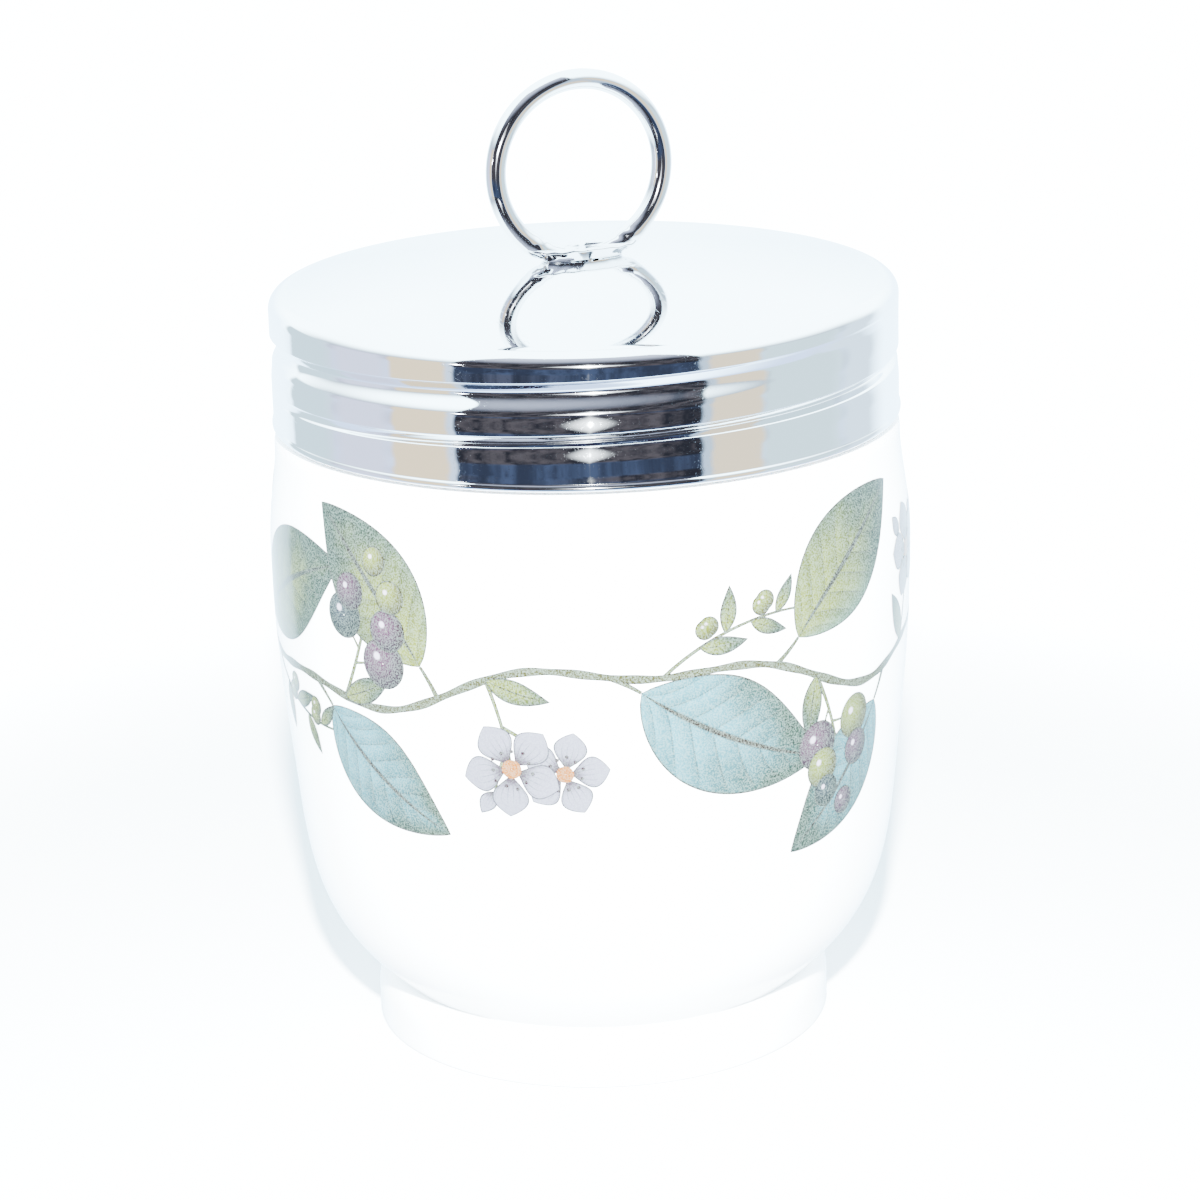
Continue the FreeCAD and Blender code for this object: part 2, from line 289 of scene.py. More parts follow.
class GroupBook:
    """Shader groups that several finishes share, each built once."""

    def __init__(self) -> None:
        """Starts with no group built."""
        self.built: dict[str, bpy.types.NodeTree] = {}

    def rubbing(self) -> bpy.types.NodeTree:
        """Fine marks of cloth and use on bright metal: stretched noise for scratches, and soft noise for haze.

        Returns:
            A group with inputs Scratches and Haze, and outputs Roughness and Height.
        """
        if "rubbing" in self.built:
            return self.built["rubbing"]
        tree = bpy.data.node_groups.new("rubbing_marks", "ShaderNodeTree")
        graph = Graph(tree)
        for name, value in (("Base", 0.05), ("Scratches", 0.5), ("Haze", 0.5)):
            socket = tree.interface.new_socket(name, in_out="INPUT", socket_type="NodeSocketFloat")
            socket.default_value = value
        for name in ("Roughness", "Height"):
            tree.interface.new_socket(name, in_out="OUTPUT", socket_type="NodeSocketFloat")
        inlet = tree.nodes.new("NodeGroupInput")
        outlet = tree.nodes.new("NodeGroupOutput")
        place = graph.add("TexCoord").outputs["Object"]
        heights = []
        for tilt, seed in ((0.3, 11.0), (1.5, 47.0), (2.4, 83.0)):
            turned = graph.add("Mapping", Rotation=(0.0, 0.0, tilt), Scale=(1.0, 0.035, 1.0), Vector=place)
            noise = graph.add("TexNoise", noise_dimensions="4D", Vector=turned.outputs[0], W=seed, Scale=5200.0, Detail=1.0)
            heights.append(graph.ramp(noise.outputs[0], 0.66, 0.72))
        marks = graph.math("MAXIMUM", graph.math("MAXIMUM", heights[0], heights[1]), heights[2])
        cloud = graph.add("TexNoise", Vector=place, Scale=120.0, Detail=4.0, Roughness=0.6)
        haze = graph.ramp(cloud.outputs[0], 0.45, 0.75)
        scratch = graph.math("MULTIPLY", marks, inlet.outputs["Scratches"])
        cloudy = graph.math("MULTIPLY", haze, inlet.outputs["Haze"])
        rough = graph.math("MULTIPLY_ADD", scratch, 0.10, inlet.outputs["Base"])
        rough = graph.math("MULTIPLY_ADD", cloudy, 0.05, rough)
        graph.fill(outlet.inputs["Roughness"], rough)
        graph.fill(outlet.inputs["Height"], graph.math("MULTIPLY", scratch, -1.0))
        self.built["rubbing"] = tree
        return tree

    def mottle(self) -> bpy.types.NodeTree:
        """The grain of a printed colour: the colour lightened and darkened by fine dots and soft clouds.

        Returns:
            A group with inputs Color, Grain and Cloud, and the output Color.
        """
        if "mottle" in self.built:
            return self.built["mottle"]
        tree = bpy.data.node_groups.new("print_mottle", "ShaderNodeTree")
        graph = Graph(tree)
        tree.interface.new_socket("Color", in_out="INPUT", socket_type="NodeSocketColor")
        for name, value in (("Grain", 0.3), ("Cloud", 0.3)):
            socket = tree.interface.new_socket(name, in_out="INPUT", socket_type="NodeSocketFloat")
            socket.default_value = value
        tree.interface.new_socket("Color", in_out="OUTPUT", socket_type="NodeSocketColor")
        inlet = tree.nodes.new("NodeGroupInput")
        outlet = tree.nodes.new("NodeGroupOutput")
        place = graph.add("TexCoord").outputs["Object"]
        dots = graph.add("TexNoise", Vector=place, Scale=7000.0, Detail=1.0)
        cloud = graph.add("TexNoise", Vector=place, Scale=420.0, Detail=4.0, Roughness=0.65)
        grain = graph.math("MULTIPLY", graph.ramp(dots.outputs[0], 0.35, 0.65), inlet.outputs["Grain"])
        soft = graph.math("MULTIPLY", graph.ramp(cloud.outputs[0], 0.35, 0.7), inlet.outputs["Cloud"])
        pale = graph.mix(grain, inlet.outputs["Color"], TONE.ink(236, 242, 240))
        darker = graph.mix(0.6, pale, (0.35, 0.37, 0.35, 1.0), "MULTIPLY")
        graph.fill(outlet.inputs["Color"], graph.mix(soft, pale, darker))
        self.built["mottle"] = tree
        return tree


GROUPS = GroupBook()


def new_material(name: str, base: tuple, rough: float, metal: float) -> tuple[bpy.types.Material, Graph, bpy.types.Node]:
    """A material with one Principled shader.

    Args:
        name: the material's name.
        base: the base colour.
        rough: the roughness.
        metal: 1 for metal and 0 for anything else.

    Returns:
        The material, its graph and the shader node.
    """
    made = bpy.data.materials.new(name)
    made.use_nodes = True
    graph = Graph(made.node_tree)
    shader = graph.add("BsdfPrincipled", Base_Color=base, Roughness=rough, Metallic=metal)
    graph.add("OutputMaterial", Surface=shader.outputs[0])
    return made, graph, shader


@dataclass(frozen=True)
class PorcelainFinish:
    """White bone porcelain under a clear glaze, with the glaze's slow waves."""

    body: tuple = (0.925, 0.940, 0.950, 1.0)
    roughness: float = 0.10
    wave_scale: float = 90.0
    wave_depth: float = 0.000012

    def make(self) -> bpy.types.Material:
        """The finish as a material."""
        made, graph, shader = new_material("glazed_porcelain", self.body, self.roughness, 0.0)
        graph.fill(shader.inputs["IOR"], 1.52)
        graph.fill(shader.inputs["Subsurface Weight"], 0.12)
        graph.fill(shader.inputs["Subsurface Scale"], 0.003)
        graph.fill(shader.inputs["Subsurface Radius"], (1.0, 0.9, 0.85))
        place = graph.add("TexCoord").outputs["Object"]
        slow = graph.add("TexNoise", Vector=place, Scale=self.wave_scale, Detail=2.0)
        specks = graph.add("TexNoise", Vector=place, Scale=1500.0, Detail=2.0)
        spot = graph.ramp(specks.outputs[0], 0.76, 0.80)
        tint = graph.mix(graph.math("MULTIPLY", slow.outputs[0], 0.35), self.body, (0.90, 0.93, 0.95, 1.0))
        graph.fill(shader.inputs["Base Color"], graph.mix(graph.math("MULTIPLY", spot, 0.15), tint, (0.62, 0.60, 0.56, 1.0)))
        bump = graph.add("Bump", Strength=0.35, Distance=self.wave_depth, Height=slow.outputs[0])
        graph.fill(shader.inputs["Normal"], bump.outputs[0])
        return made


@dataclass(frozen=True)
class PlatedFinish:
    """Bright plated metal with rubbing marks and a little haze."""

    name: str
    tint: tuple
    base: float = 0.035
    scratches: float = 0.5
    haze: float = 0.5
    lumps: float = 0.0

    def make(self) -> bpy.types.Material:
        """The finish as a material."""
        made, graph, shader = new_material(self.name, self.tint, self.base, 1.0)
        marks = graph.tree.nodes.new("ShaderNodeGroup")
        marks.node_tree = GROUPS.rubbing()
        graph.fill(marks.inputs["Base"], self.base)
        graph.fill(marks.inputs["Scratches"], self.scratches)
        graph.fill(marks.inputs["Haze"], self.haze)
        graph.fill(shader.inputs["Roughness"], marks.outputs["Roughness"])
        fine = graph.add("Bump", Strength=0.25, Distance=0.000004, Height=marks.outputs["Height"])
        if self.lumps > 0:
            place = graph.add("TexCoord").outputs["Object"]
            lump = graph.add("TexNoise", Vector=place, Scale=900.0, Detail=3.0)
            coarse = graph.add("Bump", Strength=self.lumps, Distance=0.00008, Height=lump.outputs[0])
            graph.fill(fine.inputs["Normal"], coarse.outputs[0])
        graph.fill(shader.inputs["Normal"], fine.outputs[0])
        return made


@dataclass(frozen=True)
class ThreadLine:
    """The right-hand screw line that the lid and the neck share, in millimetres and degrees."""

    lead: float = 4.0
    turns: float = 1.5
    front_angle: float = -112.0
    front_height: float = 63.75
    fade_turns: float = 0.3

    def share(self, columns: int, heights: np.ndarray, start: float, turns: float, lift: float,
              low: float, high: float, soft: float) -> np.ndarray:
        """How much of its full depth the thread has at each place.

        The depth is one less the square of the height over the line, in units of the flank below or above it,
        held at nought by a square root that rounds the edge, and it fades in and out at the thread's ends.

        Args:
            columns: how many places round the axis.
            heights: heights of the rows.
            start: angle where the thread begins, in degrees.
            turns: how many turns it has.
            lift: height above the shared line.
            low, high: lengths of the flanks below and above the line.
            soft: how round the flanks' edges are.

        Returns:
            Rows by columns of shares from 0 to 1.
        """
        angle = np.arange(columns) * 360.0 / columns
        best = np.zeros((len(heights), columns))
        first = math.floor(start / 360.0) - 1
        for step in range(first, first + int(turns) + 4):
            full = angle + 360.0 * step
            turn = (full - start) / 360.0
            fade = smooth_step(np.minimum(turn, turns - turn) / self.fade_turns)
            line = self.front_height + lift + self.lead * (full - self.front_angle) / 360.0
            above = heights[:, None] - line[None, :]
            flank = np.where(above < 0, low, high)
            arch = 1 - (above / flank) ** 2
            depth = (arch + np.sqrt(arch**2 + soft**2)) / 2 - soft / 2
            depth = np.where(np.abs(above) < flank * 1.6, np.maximum(depth, 0.0), 0.0)
            best = np.maximum(best, depth * fade[None, :])
        return best


THREAD = ThreadLine()


@dataclass
class Cup:
    """The porcelain cup: foot, bowl, shoulder, screw neck and the hollow inside, in millimetres."""

    foot_radius: float = 21.7
    foot_height: float = 5.3
    foot_edge_round: float = 1.3
    waist_radius: float = 20.2
    turn_radius: float = 28.45
    turn_height: float = 23.0
    belly_radius: float = 30.0
    belly_height: float = 47.0
    shoulder_radius: float = 29.1
    shoulder_height: float = 58.7
    shoulder_round: float = 1.3
    neck_radius: float = 27.0
    rim_height: float = 70.6
    rim_round: float = 1.1
    wall: float = 2.9
    neck_wall: float = 2.7
    floor_thickness: float = 3.8
    recess_depth: float = 2.6
    foot_ring_width: float = 2.6
    inner_round: float = 9.0
    rib_height: float = 1.1
    rib_half_width: float = 1.2
    rib_turns: float = 1.35
    rib_foot_gap: float = 2.2
    rib_lift: float = 1.95
    print_room: float = 0.07
    columns: int = 320
    finish: PorcelainFinish = field(default_factory=PorcelainFinish)

    def bowl(self) -> np.ndarray:
        """Outline of the bowl from the waist up to the shoulder: three cubic curves and a round corner.

        It lies inside the real wall by the room that the print's layers take.
        """
        rise = self.turn_height - self.foot_height
        side = self.belly_height - self.turn_height
        top = self.shoulder_height - self.belly_height
        waist = (self.waist_radius, self.foot_height)
        turn = (self.turn_radius, self.turn_height)
        belly = (self.belly_radius, self.belly_height)
        shoulder = (self.shoulder_radius, self.shoulder_height - self.shoulder_round)
        ledge = (self.shoulder_radius - self.shoulder_round, self.shoulder_height)
        whole = joined(
            bezier(
                waist,
                (waist[0] + rise * 0.32, waist[1] + rise * 0.27),
                (turn[0] - rise * 0.045, turn[1] - rise * 0.5),
                turn,
                36,
            ),
            bezier(turn, (turn[0] + side * 0.03, turn[1] + side * 0.33), (belly[0], belly[1] - side * 0.45), belly, 24),
            bezier(belly, (belly[0], belly[1] + top * 0.4), (shoulder[0], self.shoulder_height - top * 0.4), shoulder, 14),
            corner(shoulder, ledge, (self.shoulder_radius, self.shoulder_height)),
        )
        return whole - np.array([self.print_room, 0.0])

    def outline(self) -> np.ndarray:
        """The whole outline: recess, foot, bowl, neck, rim and inside, from the axis to the axis."""
        ring = self.foot_radius - self.foot_ring_width
        edge = self.foot_height - self.foot_edge_round
        floor = self.recess_depth + self.floor_thickness
        bore = self.neck_radius - self.neck_wall
        low_bore = self.shoulder_height - self.rim_round
        inner_belly = self.belly_radius - self.wall
        inner_turn = self.turn_radius - self.wall
        side = floor + self.inner_round * 2
        round_foot = 0.35
        fillet = 0.45
        return joined(
            straight((0, self.recess_depth), (ring - self.recess_depth, self.recess_depth), 6),
            corner((ring - self.recess_depth, self.recess_depth), (ring, round_foot), (ring, self.recess_depth)),
            corner((ring, round_foot), (ring + round_foot, 0), (ring, 0), 5),
            straight((ring + round_foot, 0), (self.foot_radius - round_foot, 0), 3),
            corner((self.foot_radius - round_foot, 0), (self.foot_radius, round_foot), (self.foot_radius, 0), 6),
            straight((self.foot_radius, round_foot), (self.foot_radius, edge - self.foot_edge_round), 5),
            bezier(
                (self.foot_radius, edge - self.foot_edge_round),
                (self.foot_radius, edge + 0.4),
                (self.waist_radius + 0.9, self.foot_height),
                (self.waist_radius - self.print_room, self.foot_height),
                16,
            ),
            self.bowl(),
            straight(
                (self.shoulder_radius - self.shoulder_round - self.print_room, self.shoulder_height),
                (self.neck_radius + fillet, self.shoulder_height),
                3,
            ),
            corner(
                (self.neck_radius + fillet, self.shoulder_height),
                (self.neck_radius, self.shoulder_height + fillet),
                (self.neck_radius, self.shoulder_height),
                5,
            ),
            straight((self.neck_radius, self.shoulder_height + fillet), (self.neck_radius, self.rim_height - self.rim_round), 56),
            corner(
                (self.neck_radius, self.rim_height - self.rim_round),
                (self.neck_radius - self.rim_round, self.rim_height),
                (self.neck_radius, self.rim_height),
            ),
            straight((self.neck_radius - self.rim_round, self.rim_height), (bore + self.rim_round, self.rim_height), 3),
            corner((bore + self.rim_round, self.rim_height), (bore, self.rim_height - self.rim_round), (bore, self.rim_height)),
            straight((bore, self.rim_height - self.rim_round), (bore, low_bore), 6),
            bezier(
                (bore, low_bore),
                (bore, low_bore - self.neck_wall * 1.6),
                (inner_belly, self.belly_height + self.neck_wall * 1.6),
                (inner_belly, self.belly_height),
                12,
            ),
            bezier(
                (inner_belly, self.belly_height),
                (inner_belly, self.belly_height - self.wall * 3),
                (inner_turn, side + self.wall * 2),
                (inner_turn, side),
                12,
            ),
            bezier(
                (inner_turn, side),
                (inner_turn, side - self.inner_round * 1.2),
                (self.inner_round * 1.8, floor + 0.05),
                (self.inner_round, floor),
                18,
            ),
            straight((self.inner_round, floor), (0, floor), 5),
        )

    def on_wall(self, angle: np.ndarray, height: np.ndarray, lift: float) -> np.ndarray:
        """Points on the bowl's outside: the outline's radius at each height, plus a lift, at each angle.

        Args:
            angle: angles about the axis, in radians.
            height: heights, in millimetres.
            lift: distance off the wall.

        Returns:
            Points with a last axis of 3, in millimetres.
        """
        bowl = self.bowl()
        radius = np.interp(height, bowl[:, 1], bowl[:, 0]) + lift
        return np.stack([radius * np.cos(angle), radius * np.sin(angle), height], axis=-1)

    def build(self) -> bpy.types.Object:
        """The cup as one closed mesh, with the screw rib standing out of its neck."""
        outline = self.outline()
        start = THREAD.front_angle + 360 * (
            self.shoulder_height + self.rib_foot_gap - self.rib_lift - THREAD.front_height
        ) / THREAD.lead
        on_neck = (np.abs(outline[:, 0] - self.neck_radius) < 1e-6) & (outline[:, 1] > self.shoulder_height)
        reach = THREAD.share(
            self.columns, outline[:, 1], start, self.rib_turns, self.rib_lift,
            self.rib_half_width, self.rib_half_width, 0.12,
        ) * self.rib_height * on_neck[:, None]
        made = WRITER.turned("porcelain_cup", outline, self.columns, False, reach)
        made.data.materials.append(self.finish.make())
        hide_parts("coddler_cup")
        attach(made, "cup")
        return made


@dataclass
class Lid:
    """The pressed metal cap: dome, rolled edge, threaded skirt and bead, in millimetres."""

    radius: float = 29.0
    sheet: float = 0.55
    bottom: float = 59.0
    crown_top: float = 73.386
    crown_rise: float = 2.2
    roll: float = 1.4
    bead_height: float = 0.65
    bead_proud: float = 0.12
    depth: float = 0.72
    shoulder_dip: float = 0.11
    shoulder_reach: float = 1.5
    hole: float = 1.58
    columns: int = 252
    finish: PlatedFinish = PlatedFinish("bright_plated_sheet", (0.86, 0.88, 0.90, 1.0), 0.03, 0.6, 0.6)

    def groove(self, heights: np.ndarray) -> np.ndarray:
        """How far the skirt is pressed in at each height and place round it.

        Along the screw line the deepest place drifts up by 0.40 mm a turn, and the flanks grow, the lower one by
        1.70 mm a turn. The upper flank is a straight slope with a rounded foot, the lower one is half a cosine
        wave, and a shallow dip runs on below it.

        Args:
            heights: heights of the rows.

        Returns:
            Rows by columns of distances in from the skirt's radius.
        """
        angle = np.arange(self.columns) * 360.0 / self.columns
        start = THREAD.front_angle - 90.0
        deepest = np.zeros((len(heights), self.columns))
        for step in range(-2, 3):
            full = angle + 360.0 * step
            turn = (full - start) / 360.0
            fade = smooth_step(np.minimum(turn, THREAD.turns - turn) / THREAD.fade_turns)
            past = turn - 0.25
            line = THREAD.front_height + THREAD.lead * past - 0.45 + 0.40 * past
            low = np.clip(0.32 + 1.70 * past, 0.3, 2.1)[None, :]
            high = np.clip(0.74 + 0.26 * past, 0.7, 1.1)[None, :]
            above = heights[:, None] - line[None, :]
            rounded = (np.sqrt((above / high) ** 2 + 0.15**2) - 0.15) / 0.861
            upper = np.clip(1 - rounded, 0.0, 1.0)
            lower = 0.5 + 0.5 * np.cos(math.pi * np.clip(-above / low, 0.0, 1.0))
            flank = np.where(above > 0, upper, lower)
            dip = 1 - smooth_step((-above - low) / self.shoulder_reach)
            dip = np.where(above > 0, np.clip(upper * 4, 0.0, 1.0), dip)
            depth = (self.depth * flank + self.shoulder_dip * dip) * fade[None, :]
            deepest = np.maximum(deepest, depth)
        return deepest

    def drop(self, radius: np.ndarray) -> np.ndarray:
        """How far the dome has fallen at a radius: the sagitta of its sphere."""
        edge = self.radius - self.roll
        sphere = (edge**2 + self.crown_rise**2) / (2 * self.crown_rise)
        return sphere - np.sqrt(sphere**2 - np.asarray(radius, dtype=float) ** 2)

    def dome(self, below: float, edge: float, count: int) -> np.ndarray:
        """Outline of the dome from the hole out to an edge radius, a distance below its outer face."""
        radius = np.linspace(self.hole, edge, count)
        return np.stack([radius, self.crown_top - below - self.drop(radius)], axis=-1)

    def build(self) -> bpy.types.Object:
        """The cap as one closed sheet whose thread is pressed in from outside and shows as a ridge inside."""
        edge = self.radius - self.roll
        skirt_top = self.crown_top - self.crown_rise - self.roll
        bend = self.roll - self.sheet
        inner = self.radius - self.sheet
        inner_edge = edge
        inner_dome = self.dome(self.sheet, inner_edge, 30)
        outer_dome = self.dome(0.0, edge, 40)[::-1]
        bead_top = self.bottom + self.bead_height
        bead = self.bottom + self.bead_height / 2
        outline = joined(
            inner_dome,
            corner(tuple(inner_dome[-1]), (inner, skirt_top), (inner, inner_dome[-1, 1])),
            straight((inner, skirt_top), (inner, self.bottom + 0.1), 70),
            corner((inner, self.bottom + 0.1), (inner + 0.1, self.bottom), (inner, self.bottom), 4),
            straight((inner + 0.1, self.bottom), (self.radius - 0.05, self.bottom), 3),
            bezier(
                (self.radius - 0.05, self.bottom),
                (self.radius + self.bead_proud * 1.6, self.bottom + 0.02),
                (self.radius + self.bead_proud * 1.6, bead + 0.12),
                (self.radius, bead_top),
                10,
            ),
            straight((self.radius, bead_top), (self.radius, skirt_top), 205),
            corner((self.radius, skirt_top), (edge, skirt_top + self.roll), (self.radius, skirt_top + self.roll), 22),
            outer_dome,
        )
        heights = outline[:, 1]
        on_skirt = (outline[:, 0] > inner - 0.3) & (heights < skirt_top + self.roll * 0.8) & (heights > bead_top)
        falls = smooth_step((skirt_top + self.roll * 0.5 - heights) / 1.2) * smooth_step((heights - bead_top) / 0.8)
        angle = np.arange(self.columns) * TURN / self.columns
        waves = 0.012 * np.sin(5 * angle + 0.4 * heights[:, None]) + 0.008 * np.sin(9 * angle - 0.9 * heights[:, None])
        waves = waves - 0.020 + 0.010 * np.sin(2 * angle + 1.0)
        reach = (waves - self.groove(heights)) * on_skirt[:, None] * falls[:, None]
        made = WRITER.turned("pressed_cap", outline, self.columns, True, reach)
        made.data.materials.append(self.finish.make())
        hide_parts("lid_cap")
        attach(made, "lid")
        return made


@dataclass
class Ring:
    """The lifting ring, its saddle on the dome and the rivet under it, in millimetres."""

    lid: Lid
    radius: float = 8.16
    wire: float = 1.87
    hole_gap: float = 1.05
    web: float = 0.35
    top_length: float = 10.8
    top_width: float = 3.9
    bottom_length: float = 7.8
    bottom_width: float = 3.1
    height: float = 1.12
    seat: float = 0.04
    wire_finish: PlatedFinish = PlatedFinish("bright_plated_wire", (0.78, 0.80, 0.83, 1.0), 0.035, 0.5, 0.5, 0.03)
    cast_finish: PlatedFinish = PlatedFinish("brazed_plating", (0.76, 0.78, 0.81, 1.0), 0.05, 0.5, 0.7, 0.22)

    def build_hoop(self) -> bpy.types.Object:
        """The hoop: a ring of round wire, a little thicker where it is brazed, and flat where it is seated.

        Each point is the ring's centreline plus the wire's radius, swept by one angle round the hoop and one
        round the wire. The wire's radius has slow waves of a hundredth and swells near the foot.

        Returns:
            The hoop.
        """
        centre = self.lid.crown_top + self.hole_gap + self.radius - self.wire / 2
        around = np.arange(360) * TURN / 360
        across = np.arange(40) * TURN / 40
        from_foot = np.abs((around - math.pi * 1.5 + math.pi) % TURN - math.pi)
        swell = 0.10 * np.exp(-((from_foot - 0.62) / 0.16) ** 2)
        waves = 0.010 * np.sin(3 * around + 0.4) + 0.007 * np.sin(7 * around + 1.9)
        size = self.wire / 2 * (1 + waves) + swell
        size = size[:, None] + (0.035 * np.sin(31 * around[:, None] + 3 * across) * np.exp(-((from_foot[:, None] - 0.55) / 0.14) ** 2))
        reach = self.radius + size * np.cos(across)
        points = np.stack(
            [reach * np.cos(around)[:, None], -size * np.sin(across), centre + reach * np.sin(around)[:, None]],
            axis=-1,
        )
        flat = self.lid.crown_top + self.web + self.seat
        points[..., 2] = np.maximum(points[..., 2], flat)
        made = WRITER.grid("lifting_hoop", points[:, ::-1], True, True)
        made.data.materials.append(self.wire_finish.make())
        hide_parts("lifting_ring")
        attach(made, "lid")
        return made

    def build_saddle(self) -> bpy.types.Object:
        """The boat-shaped saddle: ovals stacked from the dome up a hollow flank, over a lip and in to the middle.

        Each oval is a cosine along the ring and a sine, drawn fuller by a power of 0.75, across it.

        Returns:
            The saddle.
        """
        angle = np.arange(160) * TURN / 160
        long_way = np.cos(angle)
        cross_way = np.sign(np.sin(angle)) * np.abs(np.sin(angle)) ** 0.75
        share = np.linspace(0.0, 1.0, 14)
        flare = share**1.7
        half_long = self.bottom_length / 2 + (self.top_length - self.bottom_length) / 2 * flare
        half_wide = self.bottom_width / 2 + (self.top_width - self.bottom_width) / 2 * flare
        rise = 0.0 + share * (self.height - 0.22)
        turn = np.linspace(0.15, math.pi / 2, 7)[:, None]
        lip = 0.22
        lip_long = self.top_length / 2 - lip + lip * np.cos(turn[:, 0])
        lip_wide = self.top_width / 2 - lip + lip * np.cos(turn[:, 0])
        lip_rise = self.height - lip + lip * np.sin(turn[:, 0])
        inward = np.linspace(0.9, 0.0, 12)
        top_long = inward * (self.top_length / 2 - lip)
        top_wide = inward * (self.top_width / 2 - lip)
        top_rise = self.height - 0.12 * (1 - inward**2)
        long_all = np.concatenate([[0.0], half_long, lip_long, top_long])
        wide_all = np.concatenate([[0.0], half_wide, lip_wide, top_wide])
        rise_all = np.concatenate([[0.0], rise, lip_rise, top_rise])
        x = long_all[:, None] * long_way
        y = wide_all[:, None] * cross_way
        lumps = 0.045 * np.sin(9 * angle + 1.0) * np.sin(4 * angle) + 0.03 * np.sin(17 * angle + 2.0)
        ends = np.abs(long_way) ** 6
        z = self.lid.crown_top - self.lid.drop(np.hypot(x, y)) + self.seat + rise_all[:, None]
        z = z + (0.28 * ends + lumps) * smooth_step(rise_all / self.height)[:, None] * (long_all[:, None] > 0)
        points = np.stack([x, y, z], axis=-1)
        index = np.arange(points.shape[0] * 160).reshape(-1, 160)
        index[0] = index[0, 0]
        index[-1] = index[-1, 0]
        index = np.hstack([index, index[:, :1]])
        quads = np.stack([index[:-1, :-1], index[:-1, 1:], index[1:, 1:], index[1:, :-1]], axis=-1).reshape(-1, 4)
        made = WRITER.polygons("brazed_saddle", points.reshape(-1, 3), quads)
        made.data.materials.append(self.cast_finish.make())
        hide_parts("ring_foot")
        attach(made, "lid")
        return made

    def build_rivet(self) -> bpy.types.Object:
        """The tenon through the cap and its hammered head, turned from one outline."""
        washer_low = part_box("rivet_washer")[0][2] / MM
        head = 2.7
        tall = 0.9
        tenon = 1.5
        outline = joined(
            straight((0, washer_low - tall), (head * 0.45, washer_low - tall), 5),
            corner((head * 0.45, washer_low - tall), (head, washer_low - 0.2), (head, washer_low - tall), 14),
            straight((head, washer_low - 0.2), (head, washer_low), 2),
            straight((head, washer_low), (tenon, washer_low), 3),
            straight((tenon, washer_low), (tenon, self.lid.crown_top + 0.1), 3),
            straight((tenon, self.lid.crown_top + 0.1), (0, self.lid.crown_top + 0.1), 3),
        )
        made = WRITER.turned("hammered_rivet", outline, 72, False)
        made.data.materials.append(self.cast_finish.make())
        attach(made, "lid")
        return made

    def dress_washer(self) -> None:
        """Plain steel, with turning marks, for the washer under the dome."""
        made, graph, shader = new_material("plain_washer_steel", (0.60, 0.61, 0.62, 1.0), 0.3, 1.0)
        place = graph.add("TexCoord").outputs["Object"]
        rings = graph.add("TexWave", wave_type="RINGS", rings_direction="Z", Vector=place, Scale=900.0, Distortion=0.6)
        graph.fill(shader.inputs["Roughness"], graph.ramp(rings.outputs[1], 0.0, 1.0, 0.24, 0.42))
        graph.fill(shader.inputs["Normal"], graph.add("Bump", Strength=0.2, Distance=0.00001, Height=rings.outputs[1]).outputs[0])
        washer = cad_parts["rivet_washer"]
        washer.data.materials.clear()
        washer.data.materials.append(made)


class Side(Enum):
    """The side of the vine that a sprig stands on."""

    UP = 1
    DOWN = -1


@dataclass(frozen=True)
class Inks:
    """The printed colours of the garland."""

    aqua: tuple = TONE.ink(160, 212, 218)
    sage: tuple = TONE.ink(88, 134, 110)
    lime: tuple = TONE.ink(200, 206, 104)
    line: tuple = TONE.ink(104, 84, 74)
    stem: tuple = TONE.ink(150, 148, 70)
    plum: tuple = TONE.ink(96, 34, 82)
    plum_light: tuple = TONE.ink(170, 104, 158)
    slate: tuple = TONE.ink(38, 46, 58)
    slate_light: tuple = TONE.ink(108, 122, 142)
    petal: tuple = TONE.ink(214, 214, 222)
    petal_line: tuple = TONE.ink(120, 104, 126)
    heart: tuple = TONE.ink(130, 62, 98)
    centre: tuple = TONE.ink(222, 186, 60)
    gleam: tuple = TONE.ink(238, 236, 240)


@dataclass
class Sheets:
    """Flat printed shapes gathered into one mesh: their points, faces, places in the pattern and numbers."""

    points: list = field(default_factory=list)
    faces: list = field(default_factory=list)
    uv: list = field(default_factory=list)
    tone: list = field(default_factory=list)
    rim: list = field(default_factory=list)
    count: int = 0

    def put(self, points: np.ndarray, uv: np.ndarray, rim: np.ndarray, tone: float) -> None:
        """Adds a grid of points on the wall, with its pattern places, its distance to the edge and its tone.

        Args:
            points: rows by columns by 3.
            uv: rows by columns by 2.
            rim: rows by columns, in millimetres.
            tone: one number for the whole shape.
        """
        rows, columns = points.shape[:2]
        index = np.arange(rows * columns).reshape(rows, columns) + self.count
        quads = np.stack([index[:-1, :-1], index[:-1, 1:], index[1:, 1:], index[1:, :-1]], axis=-1).reshape(-1, 4)
        self.points.append(points.reshape(-1, 3))
        self.faces.append(quads)
        self.uv.append(uv.reshape(-1, 2))
        self.rim.append(rim.reshape(-1))
        self.tone.append(np.full(rows * columns, tone))
        self.count += rows * columns

    def build(self, name: str, material: bpy.types.Material) -> bpy.types.Object:
        """The gathered shapes as one mesh that faces away from the cup and rides on it.

        Args:
            name: the object's name.
            material: its printed colour.

        Returns:
            The mesh.
        """
        points = np.concatenate(self.points)
        faces = np.concatenate(self.faces)
        corners = points[faces]
        normal = np.cross(corners[:, 2] - corners[:, 0], corners[:, 3] - corners[:, 1])
        outward = corners.mean(axis=1) * np.array([1.0, 1.0, 0.0])
        inside_out = (normal * outward).sum(axis=1) < 0
        faces[inside_out] = faces[inside_out][:, ::-1]
        values = {"tone": np.concatenate(self.tone), "rim": np.concatenate(self.rim)}
        made = WRITER.faces(name, points, faces, np.concatenate(self.uv), values)
        made.data.materials.append(material)
        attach(made, "cup")
        return made


